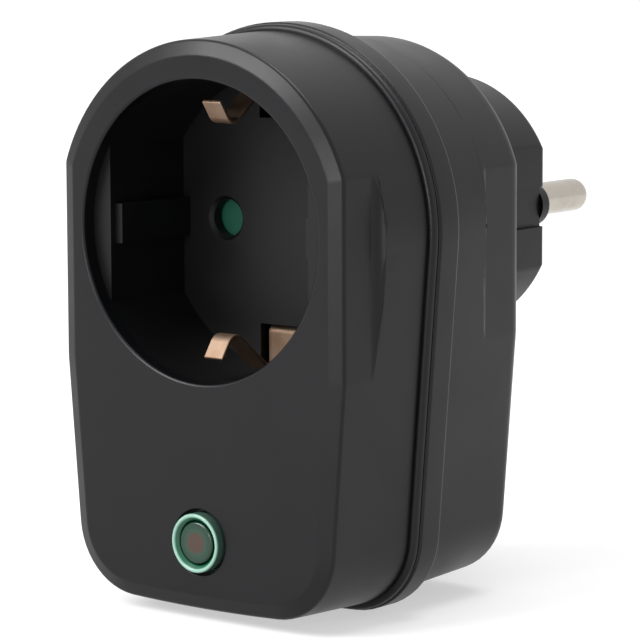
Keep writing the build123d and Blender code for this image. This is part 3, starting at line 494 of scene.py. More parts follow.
class Skin:
    """A mesh in the making, put together from loops of places and from blocks."""

    def __init__(self) -> None:
        """Starts with an empty mesh whose edges can be marked for easing."""
        self.mesh = bmesh.new()
        self.easing = self.mesh.edges.layers.float.new("bevel_weight_edge")

    def tube(self, loops: Loops, hollow: bool = False) -> list[list[bmesh.types.BMVert]]:
        """Joins loops of equally many places, each to the next.

        Args:
            loops: the loops in order.
            hollow: joins the last loop to the first; otherwise both ends are closed flat.

        Returns:
            The corners of each loop.
        """
        made = [[self.mesh.verts.new(place) for place in loop] for loop in loops]
        pairs = list(zip(made, made[1:])) + ([(made[-1], made[0])] if hollow else [])
        for near, far in pairs:
            for step in range(len(near)):
                after = (step + 1) % len(near)
                self.mesh.faces.new((near[step], near[after], far[after], far[step]))
        if not hollow:
            self.mesh.faces.new(made[0])
            self.mesh.faces.new(made[-1])
        return made

    def turn(self, profile: list[Point], centre: Point = (0.0, 0.0), count: int = BORE, hollow: bool = False) -> None:
        """Turns a profile of radius and depth pairs round an axis along the depth."""
        self.tube([circle(radius, depth, centre, count) for radius, depth in profile], hollow)

    def block(self, low: Triple, high: Triple) -> None:
        """Adds a block between its least and greatest X, depth and Z, in millimetres."""
        sides = [(low[0], low[2]), (high[0], low[2]), (high[0], high[2]), (low[0], high[2])]
        self.tube([[at(x, depth, z) for x, z in sides] for depth in (low[1], high[1])])

    def ease(self, chain: list[bmesh.types.BMVert]) -> None:
        """Marks the edges along a chain of corners for easing."""
        for here, there in zip(chain, chain[1:]):
            self.mesh.edges.get((here, there))[self.easing] = 1.0

    def shape(self, name: str) -> bpy.types.Object:
        """Turns the mesh into an object with its faces outwards.

        Args:
            name: the object's name.

        Returns:
            The object, linked to the scene.
        """
        bmesh.ops.recalc_face_normals(self.mesh, faces=self.mesh.faces)
        data = bpy.data.meshes.new(name)
        self.mesh.to_mesh(data)
        self.mesh.free()
        return show(name, data)


def show(name: str, data: bpy.types.ID) -> bpy.types.Object:
    """Makes an object and links it to the scene.

    Args:
        name: the object's name.
        data: its mesh, lamp or camera.

    Returns:
        The object.
    """
    made = bpy.data.objects.new(name, data)
    bpy.context.collection.objects.link(made)
    return made


def settle(piece: bpy.types.Object) -> None:
    """Turns what the modifiers show into the piece's own plain mesh, and takes the modifiers off.

    Args:
        piece: the mesh object.
    """
    graph = bpy.context.evaluated_depsgraph_get()
    plain = bpy.data.meshes.new_from_object(piece.evaluated_get(graph))
    raw = piece.data
    piece.modifiers.clear()
    piece.data = plain
    plain.name = piece.name
    bpy.data.meshes.remove(raw)


def ease_edges(piece: bpy.types.Object, width: float, marked: bool = False, segments: int = 3) -> None:
    """Rounds edges a little, as a tool leaves them.

    Args:
        piece: the mesh object.
        width: reach of the rounding to each side, in millimetres.
        marked: rounds only the marked edges; otherwise every edge sharper than 30 degrees.
        segments: steps of the rounding.
    """
    easing = piece.modifiers.new("eased_edges", "BEVEL")
    easing.width = width * MM
    easing.segments = segments
    easing.limit_method = "WEIGHT" if marked else "ANGLE"
    easing.use_clamp_overlap = not marked
    settle(piece)


def cut_away(piece: bpy.types.Object, tools: Skin) -> None:
    """Takes shapes out of a solid piece, and merges what overlaps in the piece itself.

    Args:
        piece: the mesh object.
        tools: what is taken out.
    """
    cutter = tools.shape("cutter")
    openings = piece.modifiers.new("openings", "BOOLEAN")
    openings.operation = "DIFFERENCE"
    openings.solver = "EXACT"
    openings.use_self = True
    openings.object = cutter
    settle(piece)
    bpy.data.objects.remove(cutter)
    drop_slivers(piece)


def drop_slivers(piece: bpy.types.Object) -> None:
    """Keeps the largest skin of a cut piece. Slivers where a rounding runs out hang on it by edges of four faces.

    Args:
        piece: the mesh object.
    """
    mesh = bmesh.new()
    mesh.from_mesh(piece.data)
    bmesh.ops.remove_doubles(mesh, verts=mesh.verts, dist=1e-6)
    bmesh.ops.dissolve_degenerate(mesh, dist=1e-7, edges=mesh.edges)
    bmesh.ops.triangulate(mesh, faces=[face for face in mesh.faces if len(face.verts) > 4])
    islands: list[list[bmesh.types.BMFace]] = []
    met: set[bmesh.types.BMFace] = set()
    for first in mesh.faces:
        if first in met:
            continue
        met.add(first)
        island = [first]
        for face in island:
            for edge in face.edges:
                for other in edge.link_faces if len(edge.link_faces) == 2 else ():
                    if other not in met:
                        met.add(other)
                        island.append(other)
        islands.append(island)
    islands.sort(key=len)
    bmesh.ops.delete(mesh, geom=[face for island in islands[:-1] for face in island], context="FACES")
    bmesh.ops.holes_fill(mesh, edges=[edge for edge in mesh.edges if edge.is_boundary], sides=8)
    mesh.to_mesh(piece.data)
    mesh.free()


def add_on(piece: bpy.types.Object, extra: Skin) -> None:
    """Adds closed shapes to the piece's own mesh.

    Args:
        piece: the mesh object.
        extra: the shapes.
    """
    part = extra.shape("extra")
    both = bmesh.new()
    both.from_mesh(piece.data)
    both.from_mesh(part.data)
    both.to_mesh(piece.data)
    both.free()
    bpy.data.objects.remove(part)


@dataclass(frozen=True)
class Role:
    """What a finished piece is in the frame."""

    nodes: tuple[str, ...]
    slot: str
    body: str = HOUSING_BODY


def hand_over(piece: bpy.types.Object, role: Role, palette: Palette, sharp: float = 32.0) -> None:
    """Shades and dresses a finished piece, puts it on its body and hides the CAD nodes that it stands for.

    Args:
        piece: the mesh object.
        role: its nodes, slot and body.
        palette: the finishes.
        sharp: edges that turn by more than this, in degrees, stay sharp; elsewhere the larger faces lead.
    """
    piece.data.shade_smooth()
    piece.data.set_sharp_from_angle(angle=math.radians(sharp))
    guide = piece.modifiers.new("even_shading", "WEIGHTED_NORMAL")
    guide.keep_sharp = True
    piece.data.materials.clear()
    piece.data.materials.append(palette.made[role.slot])
    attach(piece, role.body)
    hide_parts(*role.nodes)
    log.info("%s: %d faces", piece.name, len(piece.data.polygons))


@dataclass(frozen=True)
class Section:
    """Section across the housing: an arch on leaning flanks, with rounded corners and a slightly bowed bottom."""

    arch_radius: float = 26.2
    bottom_drop: float = 51.7
    flank_taper: float = 4.6
    corner_radius: float = 10.7
    belly_radius: float = 285.0

    SPANS: ClassVar[tuple[int, ...]] = (5, 12, 8, 4, 28)  # steps of belly, corner, flank, side and arch
    WAIST_TURN: ClassVar[float] = 4.0
    NO_FLATS: ClassVar[float] = 99.0

    def widest(self, inset: float) -> float:
        """Half width at which the side flats have all but run out."""
        return (self.arch_radius - inset) * math.cos(math.radians(self.WAIST_TURN))

    def corners(self) -> tuple[int, int, int, int]:
        """Finds where the side flats meet the rest of the loop.

        Returns:
            Numbers of the four places, round from the lower right.
        """
        low = sum(self.SPANS[:3])
        high = low + self.SPANS[3]
        around = 2 * sum(self.SPANS)
        return low, high, around - high, around - low

    def half(self, inset: float, half_width: float) -> list[Point]:
        """Works out the right half, from the middle of the bottom up to the middle of the arch.

        Args:
            inset: how far the outline moves in, in millimetres.
            half_width: where the side flat stands.

        Returns:
            X and Z of each place: belly, corner, flank, side and arch have fixed numbers of places.
        """
        lean = math.radians(self.flank_taper)
        radius, corner = self.arch_radius - inset, self.corner_radius - inset
        belly, middle = self.belly_radius - inset, self.belly_radius - self.bottom_drop
        base, slope = (radius - corner) / math.cos(lean), math.tan(lean)
        # The corner's centre lies a corner's radius inside the flank and inside the belly.
        linear_term = base * slope - middle
        constant = base**2 + middle**2 - (belly - corner) ** 2
        square = 1 + slope**2
        centre_z = (-linear_term - math.sqrt(linear_term**2 - square * constant)) / square
        centre_x = base + slope * centre_z
        low = math.atan2(centre_z - middle, centre_x)
        full = half_width >= self.widest(inset) + 0.001
        side = min(half_width, self.widest(inset))
        high = math.acos(side / radius)
        foot, top = -radius * math.sin(high), radius * math.sin(high)
        if side < radius * math.cos(lean):
            foot = (side * math.cos(lean) - radius) / math.sin(lean)
        at_belly, at_corner, at_flank, at_side, at_arch = self.SPANS
        places = arc(belly, -math.pi / 2, low, at_belly, (0.0, middle))[:-1]
        around = arc(corner, low, -lean, at_corner, (centre_x, centre_z))
        places += around[:-1]
        start = around[-1]
        for step in range(at_flank):
            share = step / at_flank
            places.append((start[0] + (side - start[0]) * share, start[1] + (foot - start[1]) * share))
        for step in range(at_side):
            height = foot + (top - foot) * step / at_side
            places.append((math.sqrt(radius**2 - height**2) if full else side, height))
        places += arc(radius, high, math.pi / 2, at_arch)
        places[0] = (0.0, places[0][1])
        places[-1] = (0.0, places[-1][1])
        return places

    def loop(self, depth: float, inset: float, half_width: float = NO_FLATS) -> list[Vector]:
        """Gives the whole outline at one depth, round from the middle of the bottom.

        Args:
            depth: behind the front face, in millimetres.
            inset: how far the outline moves in.
            half_width: where the side flats stand.

        Returns:
            The places in metres.
        """
        right = self.half(inset, half_width)
        left = [(-x, z) for x, z in reversed(right[1:-1])]
        return [at(x, depth, z) for x, z in right + left]


@dataclass(frozen=True)
class Grip:
    """End of a half shell: an eased edge, flats on both sides, and the coves in which they run out."""

    section: Section
    half_width: float
    end_depth: float
    step_depth: float
    edge: tuple[Point, ...]
    edge_radii: tuple[float, ...]
    draft: float
    parting_depth: float = 17.6
    cove: float = 1.5

    COVE_STEPS: ClassVar[int] = 8
    RUN_OUT: ClassVar[float] = 0.06

    def lean(self, depth: float) -> float:
        """How far the sides lie inside the outline at this depth."""
        return self.draft * (depth - self.parting_depth) / (self.end_depth - self.parting_depth)

    def loops(self) -> Loops:
        """Works out the loops.

        Returns:
            The loops from the end face to the full section behind the coves.
        """
        inwards = math.copysign(1.0, self.step_depth - self.end_depth)
        made = []
        for behind, inside in bent_line(list(self.edge), list(self.edge_radii)):
            depth = self.end_depth + inwards * behind
            inset = self.lean(depth) + inside
            made.append(self.section.loop(depth, inset, self.half_width - inset))
        flat_end = self.half_width - self.lean(self.step_depth)
        reach = self.section.widest(self.lean(self.step_depth + inwards * self.cove)) - flat_end
        last = math.acos(1 - reach / self.cove)
        for step in range(self.COVE_STEPS + 1):
            turn = last * step / self.COVE_STEPS
            depth = self.step_depth + inwards * self.cove * math.sin(turn)
            width = flat_end + self.cove * (1 - math.cos(turn))
            made.append(self.section.loop(depth, self.lean(depth), width))
        depth += inwards * self.RUN_OUT
        made.append(self.section.loop(depth, self.lean(depth)))
        return made

    def ease_creases(self, skin: Skin, loops: list[list[bmesh.types.BMVert]]) -> None:
        """Marks the edges where the flats and coves meet the full section.

        Args:
            skin: the mesh that holds the loops.
            loops: the corners of this grip's loops, from the end face on.
        """
        low, high, left_high, left_low = self.section.corners()
        for corner in (low, high, left_high, left_low):
            skin.ease([loop[corner] for loop in loops[:-1]])
        skin.ease(loops[-2][low:high + 1])
        skin.ease(loops[-2][left_high:left_low + 1])


@dataclass(frozen=True)
class Lip:
    """Lip of the band that runs round the housing, with its outer edges rounded."""

    proud: float
    front_depth: float
    rear_depth: float
    front_edge: float
    rear_edge: float
    section: Section = Section()

    def loops(self) -> Loops:
        """Works out the loops.

        Returns:
            The loops from front to rear.
        """
        front = [(self.front_depth + along, inset) for along, inset in eased(self.front_edge, steps=5)]
        rear = [(self.rear_depth - along, inset) for inset, along in eased(self.rear_edge, steps=4)]
        return [self.section.loop(depth, inset - self.proud) for depth, inset in front + rear]


@dataclass(frozen=True)
class FrontShell:
    """Front half of the housing with the socket opening, the button hole and the screw bosses inside."""

    section: Section = Section()
    parting_depth: float = 17.6
    front_wall: float = 2.2
    cavity_inset: float = 2.6
    cavity_half_width: float = 22.0
    opening_radius: float = 20.3
    rim_rounding: float = 0.5
    button_drop: float = 41.8
    button_hole_radius: float = 4.5
    button_rim: float = 0.2
    screw_places: tuple[Point, ...] = ((-19.2, -19.5), (19.2, -19.5), (-15.8, -44.2), (15.8, -44.2))
    boss_radius: float = 3.2
    pilot_radius: float = 1.2
    pilot_depth: float = 10.0
    post_places: tuple[Point, ...] = ((-14.5, -27.0), (14.5, -27.0), (-8.3, -46.0), (8.3, -46.0))
    post_radius: float = 2.0
    post_pin_radius: float = 0.9
    board_depth: float = 10.0
    post_end_depth: float = 12.4
    root_depth: float = 1.5
    grip: Grip = Grip(
        Section(), 24.8, 0.0, 6.1, ((0.0, 3.1), (0.0, 2.1), (0.85, 0.0), (2.0, 0.0)), (1.2, 0.6), 0.6
    )
    lip: Lip = Lip(0.85, 16.4, 17.6, 0.7, 0.25)
    crease_easing: float = 0.35
    role: Role = Role(("front_shell",), "housing_plastic")

    def build(self, palette: Palette) -> None:
        """Makes the shell as one moulding.

        Args:
            palette: the finishes.
        """
        skin = Skin()
        grip_loops = self.grip.loops()
        foot = self.section.loop(self.lip.front_depth, self.grip.lean(self.lip.front_depth))
        made = skin.tube(grip_loops + [foot] + self.lip.loops())
        self.grip.ease_creases(skin, made[:len(grip_loops)])
        shell = skin.shape("front_half_shell")
        ease_edges(shell, self.crease_easing, marked=True)
        cut_away(shell, self.openings())
        add_on(shell, self.bosses())
        hand_over(shell, self.role, palette)

    def openings(self) -> Skin:
        """Gives what is taken out.

        Returns:
            The hollow, the socket opening and the button hole, with rounded rims.
        """
        tools = Skin()
        depths = (self.front_wall, self.parting_depth + 1)
        tools.tube([self.section.loop(depth, self.cavity_inset, self.cavity_half_width) for depth in depths])
        for radius, rim, centre, count in (
            (self.opening_radius, self.rim_rounding, (0.0, 0.0), 144),
            (self.button_hole_radius, self.button_rim, (0.0, -self.button_drop), 64),
        ):
            flare = [(radius + across, along) for along, across in eased(rim, steps=5)]
            tools.turn([(radius + rim, -1.0), *flare, (radius, self.front_wall + 0.5)], centre, count)
        return tools

    def bosses(self) -> Skin:
        """Gives what stands up inside.

        Returns:
            The screw bosses with their pilot holes, and the posts that carry the board.
        """
        pillars = Skin()
        boss = [(self.boss_radius, self.root_depth), (self.boss_radius, self.parting_depth),
                (self.pilot_radius, self.parting_depth), (self.pilot_radius, self.pilot_depth)]
        post = [(self.post_radius, self.root_depth), (self.post_radius, self.board_depth),
                (self.post_pin_radius, self.board_depth), (self.post_pin_radius, self.post_end_depth)]
        for profile, places in ((boss, self.screw_places), (post, self.post_places)):
            for place in places:
                pillars.turn(profile, place, POST)
        return pillars


@dataclass(frozen=True)
class RearShell:
    """Rear half of the housing with the plug nose: side grooves, earth windows and screw counterbores."""

    section: Section = Section(arch_radius=25.5)
    parting_depth: float = 17.6
    housing_depth: float = 42.3
    inner_end_depth: float = 40.3
    cavity_inset: float = 3.0
    cavity_half_width: float = 22.0
    grip: Grip = Grip(
        Section(arch_radius=25.5), 24.3, 42.3, 33.0, ((0.0, 3.0), (0.0, 0.0), (3.0, 0.0)), (2.4,), 1.0
    )
    lip: Lip = Lip(1.09, 17.6, 22.3, 0.45, 0.8)
    crease_easing: float = 0.35
    nose_radius: float = 18.5
    nose_half_width: float = 16.5
    nose_root_depth: float = 41.3
    nose_end_depth: float = 57.8
    nose_rounding: float = 1.2
    nose_wall: float = 2.0
    nose_end_wall: float = 2.5
    nose_cavity_half_width: float = 14.2
    groove_half_width: float = 2.9
    groove_half_span: float = 15.4
    window_half_width: float = 2.9
    window_depths: Point = (45.0, 55.1)
    slot_half_length: float = 13.5
    slot_half_width: float = 3.2
    screw_places: tuple[Point, ...] = FrontShell.screw_places
    boss_radius: float = 3.2
    bore_radius: float = 2.8
    hole_radius: float = 1.6
    seat_depth: float = 28.0
    root_depth: float = 40.6
    core_ribs: Point = (3.4, 15.8)
    core_rib_span: Point = (-38.5, -26.5)
    core_rib_depth: float = 34.0
    core_rib_half: float = 0.7
    relay_ribs: Point = (-26.5, -36.5)
    relay_rib_span: Point = (-17.5, -1.5)
    relay_rib_depth: float = 38.5
    relay_rib_half: float = 0.75
    role: Role = Role(("rear_shell",), "housing_plastic")

    def build(self, palette: Palette) -> None:
        """Makes the shell and its nose as one moulding.

        Args:
            palette: the finishes.
        """
        skin = Skin()
        grip_loops = self.grip.loops()
        foot = self.section.loop(self.lip.rear_depth, self.grip.lean(self.lip.rear_depth))
        made = skin.tube(self.lip.loops() + [foot] + grip_loops[::-1])
        self.grip.ease_creases(skin, made[::-1][:len(grip_loops)])
        skin.tube(self.nose_loops())
        shell = skin.shape("rear_half_shell_with_plug")
        ease_edges(shell, self.crease_easing, marked=True)
        cut_away(shell, self.openings())
        add_on(shell, self.inside())
        hand_over(shell, self.role, palette)

    def nose_loop(self, depth: float, inset: float, wide: float | None = None) -> list[Vector]:
        """Outline across the nose: a circle flattened on both sides.

        Args:
            depth: behind the front face, in millimetres.
            inset: how far the outline moves in.
            wide: half width between the flats, by default the nose's own less the inset.

        Returns:
            The places in metres.
        """
        radius = self.nose_radius - inset
        side = self.nose_half_width - inset if wide is None else wide
        high = math.acos(side / radius)
        upper = arc(radius, high, math.pi - high, 48)
        return [at(x, depth, z) for x, z in upper + [(-x, -z) for x, z in upper]]

    def nose_loops(self) -> Loops:
        """Works out the nose's loops.

        Returns:
            The loops from inside the housing to the rounded end.
        """
        edge = eased(self.nose_rounding, steps=6)
        end = [self.nose_loop(self.nose_end_depth - along, inset) for inset, along in edge]
        return [self.nose_loop(self.nose_root_depth, 0), *end]

    def openings(self) -> Skin:
        """Gives what is taken out.

        Returns:
            Both hollows, the grooves, the windows, the bar's slot and the counterbores.
        """
        tools = Skin()
        hollow = (self.parting_depth - 1, self.inner_end_depth)
        tools.tube([self.section.loop(depth, self.cavity_inset, self.cavity_half_width) for depth in hollow])
        through = self.inner_end_depth - 1
        cavity_end = self.nose_end_depth - self.nose_end_wall
        width = self.nose_cavity_half_width
        tools.tube([self.nose_loop(depth, self.nose_wall, width) for depth in (through, cavity_end)])
        beyond = self.nose_radius + 1
        half = self.groove_half_width
        for side in (-1, 1):
            near, far = sorted((side * self.groove_half_span, side * beyond))
            tools.block((near, self.housing_depth, -half), (far, self.nose_end_depth + 1, half))
        half = self.window_half_width
        tools.block((-half, self.window_depths[0], -beyond), (half, self.window_depths[1], beyond))
        slot = (self.slot_half_length, self.slot_half_width)
        tools.tube([stadium(*slot, depth) for depth in (cavity_end - 1, self.nose_end_depth + 1)])
        for place in self.screw_places:
            tools.turn([(self.bore_radius, through), (self.bore_radius, self.housing_depth + 1)], place)
        return tools

    def inside(self) -> Skin:
        """Gives what stands up inside.

        Returns:
            The stepped screw bosses, and the ribs that hold the transformer and the relay.
        """
        extra = Skin()
        root = self.root_depth
        profile = [
            (self.hole_radius, self.parting_depth), (self.boss_radius, self.parting_depth),
            (self.boss_radius, root), (self.bore_radius, root),
            (self.bore_radius, self.seat_depth), (self.hole_radius, self.seat_depth),
        ]
        for place in self.screw_places:
            extra.turn(profile, place, hollow=True)
        near, far = self.core_rib_span
        half = self.core_rib_half
        for middle in self.core_ribs:
            extra.block((middle - half, self.core_rib_depth, near), (middle + half, root, far))
        near, far = self.relay_rib_span
        half = self.relay_rib_half
        for middle in self.relay_ribs:
            extra.block((near, self.relay_rib_depth, middle - half), (far, root, middle + half))
        return extra


@dataclass(frozen=True)
class PinBridge:
    """Oblong bar on the plug's end that holds both pins."""

    half_length: float = 16.0
    half_width: float = 3.1
    contact_depth: float = CONTACT_DEPTH
    nose_end_depth: float = 57.8
    rounding: float = 0.5
    body_half_length: float = 13.4
    body_front_depth: float = 52.6
    pin_offset: float = 9.5
    hole_radius: float = 2.15
    relief_radius: float = 2.5
    relief_depth: float = 59.3
    role: Role = Role(("pin_bridge",), "housing_plastic")

    def build(self, palette: Palette) -> None:
        """Makes the bar with its rounded face and pin holes.

        Args:
            palette: the finishes.
        """
        skin = Skin()
        steps = [(self.body_half_length, self.body_front_depth), (self.body_half_length, self.nose_end_depth),
                 (self.half_length, self.nose_end_depth)]
        face = [stadium(self.half_length - inset, self.half_width - inset, self.contact_depth - along)
                for inset, along in eased(self.rounding, steps=5)]
        skin.tube([stadium(length, self.half_width, depth) for length, depth in steps] + face)
        bar = skin.shape("pin_bar")
        tools = Skin()
        hole = [(self.hole_radius, self.body_front_depth - 1), (self.hole_radius, self.relief_depth),
                (self.relief_radius, self.relief_depth), (self.relief_radius, self.contact_depth + 1)]
        for side in (-1, 1):
            tools.turn(hole, (side * self.pin_offset, 0.0))
        cut_away(bar, tools)
        hand_over(bar, self.role, palette)


@dataclass(frozen=True)
class PlugPins:
    """Both plug pins: turned brass, plated, with rounded tips and a collar behind the bar."""

    offset: float = 9.5
    radius: float = 2.4
    tip_depth: float = 76.5
    tip_rounding: float = 1.9
    shoulder_depth: float = 60.0
    root_radius: float = 2.1
    collar_radius: float = 3.0
    collar_depths: Point = (50.6, 52.6)
    shank_radius: float = 1.8
    shank_depth: float = 44.6
    easing: float = 0.12

    def build(self, palette: Palette) -> None:
        """Makes the left and the right pin.

        Args:
            palette: the finishes.
        """
        front, rear = self.collar_depths
        profile = [
            (self.shank_radius, self.shank_depth), (self.shank_radius, front),
            (self.collar_radius, front), (self.collar_radius, rear),
            (self.root_radius, rear), (self.root_radius, self.shoulder_depth), (self.radius, self.shoulder_depth),
            *((self.radius - across, self.tip_depth - along) for across, along in eased(self.tip_rounding, steps=8)),
        ]
        for node, side in (("pin_left", -1), ("pin_right", 1)):
            skin = Skin()
            skin.turn(profile, (side * self.offset, 0.0), ROUND)
            pin = skin.shape(f"{node}_turned")
            ease_edges(pin, self.easing)
            hand_over(pin, Role((node,), "pin_nickel"), palette)


@dataclass(frozen=True)
class TestKey:
    """The test button with the light ring round it."""

    drop: float = 41.8
    ring_radius: float = 4.05
    ring_bore: float = 3.1
    ring_front_depth: float = -1.0
    flange_radius: float = 5.6
    flange_depths: Point = (2.2, 3.4)
    ring_rounding: float = 0.3
    ring_dish: float = 0.6
    button_radius: float = 2.9
    button_front_depth: float = -0.65
    button_rounding: float = 0.4
    button_bore: float = 2.05
    ceiling_depth: float = 0.35
    button_flange_radius: float = 4.3
    button_flange_depths: Point = (3.7, 4.7)
    stem_depth: float = 8.3
    arm_half_width: float = 1.5
    arm_start: float = 3.25
    arm_reach: float = 8.9

    CREST_TURN: ClassVar[float] = 0.72  # half turns, from the ring's side over its crest

    def build(self, palette: Palette) -> None:
        """Makes the ring, and the hollow button with its flange, stem and the arm that reaches the switch.

        Args:
            palette: the finishes.
        """
        centre = (0.0, -self.drop)
        skin = Skin()
        front, rear = self.flange_depths
        skin.turn([
            (self.flange_radius, front), (self.ring_radius, front),
            *((self.ring_radius - across, self.ring_front_depth + along)
              for across, along in eased(self.ring_rounding, steps=12, reach=self.CREST_TURN)),
            (self.ring_bore, self.ring_front_depth + self.ring_dish), (self.ring_bore, rear),
            (self.flange_radius, rear),
        ], centre, ROUND, hollow=True)
        hand_over(skin.shape("ring_moulding"), Role(("light_ring",), "ring_plastic"), palette)
        skin = Skin()
        near, far = self.button_flange_depths
        cap = [(self.button_radius - across, self.button_front_depth + along)
               for across, along in eased(self.button_rounding, steps=8)]
        skin.turn([
            *cap[::-1],
            (self.button_radius, near), (self.button_flange_radius, near), (self.button_flange_radius, far),
            (self.button_radius, far), (self.button_radius, self.stem_depth), (self.button_bore, self.stem_depth),
            (self.button_bore, self.ceiling_depth),
        ], centre, ROUND)
        skin.block((-self.arm_half_width, near, self.arm_start - self.drop),
                   (self.arm_half_width, far, self.arm_reach - self.drop))
        hand_over(skin.shape("button_moulding"), Role(("test_button",), "button_plastic", BUTTON_BODY), palette)


@dataclass(frozen=True)
class Strip:
    """A flat metal strip folded along a line of depths and heights."""

    corners: tuple[Point, ...]
    radii: tuple[float, ...]
    thickness: float
    half_width: float
    steps: int = 8

    def loops(self, side: int) -> Loops:
        """Gives the strip its loops, square to the line that it follows.

        Args:
            side: 1 for the upper strip, -1 for its mirror below.

        Returns:
            Four corners for each place on the line.
        """
        line = bent_line([(depth, side * height) for depth, height in self.corners], list(self.radii), self.steps)
        made = []
        for step, place in enumerate(line):
            before, after = Vector(line[max(step - 1, 0)]), Vector(line[min(step + 1, len(line) - 1)])
            along = (after - before).normalized()
            across = Vector((-along.y, along.x)) * self.thickness / 2
            inner, outer = Vector(place) - across, Vector(place) + across
            ends = ((-self.half_width, inner), (self.half_width, inner), (self.half_width, outer),
                    (-self.half_width, outer))
            made.append([at(x, corner.x, corner.y) for x, corner in ends])
        return made


@dataclass(frozen=True)
class StripPair:
    """An upper and a lower piece of folded strip, the lower one the upper one's mirror."""

    node: str
    slot: str
    strips: tuple[Strip, ...]
    easing: float

    SHARP: ClassVar[float] = 40.0

    def build(self, palette: Palette) -> None:
        """Makes both pieces.

        Args:
            palette: the finishes.
        """
        for end, side in (("upper", 1), ("lower", -1)):
            node = f"{self.node}_{end}"
            skin = Skin()
            for strip in self.strips:
                skin.tube(strip.loops(side))
            piece = skin.shape(f"{node}_strip")
            ease_edges(piece, self.easing)
            hand_over(piece, Role((node,), self.slot), palette, self.SHARP)


# Earth strips of the plug, standing out in the windows of the nose.
NOSE_STRIPS = StripPair("plug_earth_strip", "contact_brass", (
    Strip(((39.8, 12.6), (39.8, 15.2), (45.6, 15.2), (47.0, 17.5), (53.0, 17.5), (54.4, 15.2)),
          (0.6, 0.6, 0.6, 0.6), 0.8, 2.5, 6),
), 0.15)
# Sprung earth clips of the recess: a narrow arm, and the wide root that runs back as a strap.
EARTH_CLIPS = StripPair("earth_clip", "clip_bronze", (
    Strip(((3.4, 17.3), (5.9, 13.65), (13.6, 19.725), (18.975, 19.725)), (1.8, 0.9), 0.55, 1.6),
    Strip(((18.975, 20.0), (18.975, 14.7), (38.6, 14.7)), (0.9,), 0.55, 3.0),
), 0.16)


class Recipe:
    """A Geometry Nodes tree in the making, with a named input for each size."""

    def __init__(self, name: str) -> None:
        """Starts the tree with its two ends.

        Args:
            name: the tree's name.
        """
        self.tree = bpy.data.node_groups.new(name, "GeometryNodeTree")
        for way in ("INPUT", "OUTPUT"):
            self.tree.interface.new_socket(name="Geometry", in_out=way, socket_type="NodeSocketGeometry")
        self.given = add_node(self.tree, "NodeGroupInput")
        self.values: dict[str, float | int] = {}

    def size(self, name: str, value: float | int) -> Socket:
        """Adds a named input.

        Args:
            name: the size's name.
            value: what this piece sets it to, lengths in metres and angles in radians.

        Returns:
            The input as an output socket inside the tree.
        """
        kind = "NodeSocketInt" if isinstance(value, int) else "NodeSocketFloat"
        socket = self.tree.interface.new_socket(name=name, in_out="INPUT", socket_type=kind)
        self.values[socket.identifier] = value
        return self.given.outputs[name]

    def lengths(self, sizes: object, *fields: str) -> list[Socket]:
        """Adds a named input for each of these fields of a class, which hold lengths in millimetres."""
        return [self.size(field.replace("_", " ").capitalize(), getattr(sizes, field) * MM) for field in fields]

    def node(self, kind: str, inputs: Inputs | None = None, **settings: object) -> Socket:
        """Adds a geometry node by the last part of its type name, and gives its first output."""
        return add_node(self.tree, f"GeometryNode{kind}", inputs, **settings).outputs[0]

    def work_out(self, operation: str, *terms: object) -> Socket:
        """Adds one step of arithmetic on numbers and sockets."""
        return add_node(self.tree, "ShaderNodeMath", dict(enumerate(terms)), operation=operation).outputs[0]

    def times(self, first: object, second: object) -> Socket:
        """Multiplies two numbers or sockets."""
        return self.work_out("MULTIPLY", first, second)

    def vector(self, x: object = 0.0, y: object = 0.0, z: object = 0.0) -> Socket:
        """Joins three numbers or sockets."""
        return add_node(self.tree, "ShaderNodeCombineXYZ", {"X": x, "Y": y, "Z": z}).outputs[0]

    def wire(self, curve: Socket, radius: object, sides: int = 12) -> Socket:
        """Gives a curve a round wire along it, whose radius may change on the way."""
        ring = self.node("CurvePrimitiveCircle", {"Resolution": sides, "Radius": 1.0})
        return self.node("CurveToMesh", {"Curve": curve, "Profile Curve": ring, "Scale": radius, "Fill Caps": True})

    def coil(self, resolution: int, turns: Socket, radius: Socket, height: Socket) -> Socket:
        """Adds a coil of even radius along Z."""
        inputs = {"Resolution": resolution, "Rotations": turns, "Start Radius": radius, "End Radius": radius}
        return self.node("CurveSpiral", {**inputs, "Height": height})

    def lifted(self, geometry: Socket, height: object) -> Socket:
        """Moves geometry along Z."""
        return self.node("Transform", {"Geometry": geometry, "Translation": self.vector(z=height)})

    def turned_back(self, geometry: Socket, place: Vector) -> Socket:
        """Turns what was made along Z to lie along the depth, and moves it to its place."""
        turn = (-math.pi / 2, 0.0, 0.0)
        return self.node("Transform", {"Geometry": geometry, "Translation": place, "Rotation": turn})

    def joined(self, parts: list[Socket]) -> Socket:
        """Joins parts into one geometry.

        Args:
            parts: what is joined.

        Returns:
            The whole as an output socket.
        """
        join = add_node(self.tree, "GeometryNodeJoinGeometry")
        for part in parts:
            self.tree.links.new(part, join.inputs["Geometry"])
        return join.outputs[0]

    def spots(self, count: object, place: Socket) -> Socket:
        """Adds so many points and puts each at its place."""
        line = self.node("MeshLine", {"Count": count}, mode="OFFSET")
        return self.node("SetPosition", {"Geometry": line, "Position": place})

    def grow(self, geometry: Socket, name: str, role: Role, palette: Palette) -> bpy.types.Object:
        """Ends the tree, sets its inputs on a new object and turns the outcome into a plain mesh.

        Args:
            geometry: what the tree has made.
            name: the object's name.
            role: the piece's nodes, slot and body.
            palette: the finishes.

        Returns:
            The plain mesh object.
        """
        real = self.node("RealizeInstances", {"Geometry": geometry})
        dressed = self.node("SetMaterial", {"Geometry": real, "Material": palette.made[role.slot]})
        add_node(self.tree, "NodeGroupOutput", {"Geometry": dressed})
        piece = show(name, bpy.data.meshes.new(name))
        growth = piece.modifiers.new("growth", "NODES")
        growth.node_group = self.tree
        for identifier, value in self.values.items():
            growth[identifier] = value
        settle(piece)
        return piece


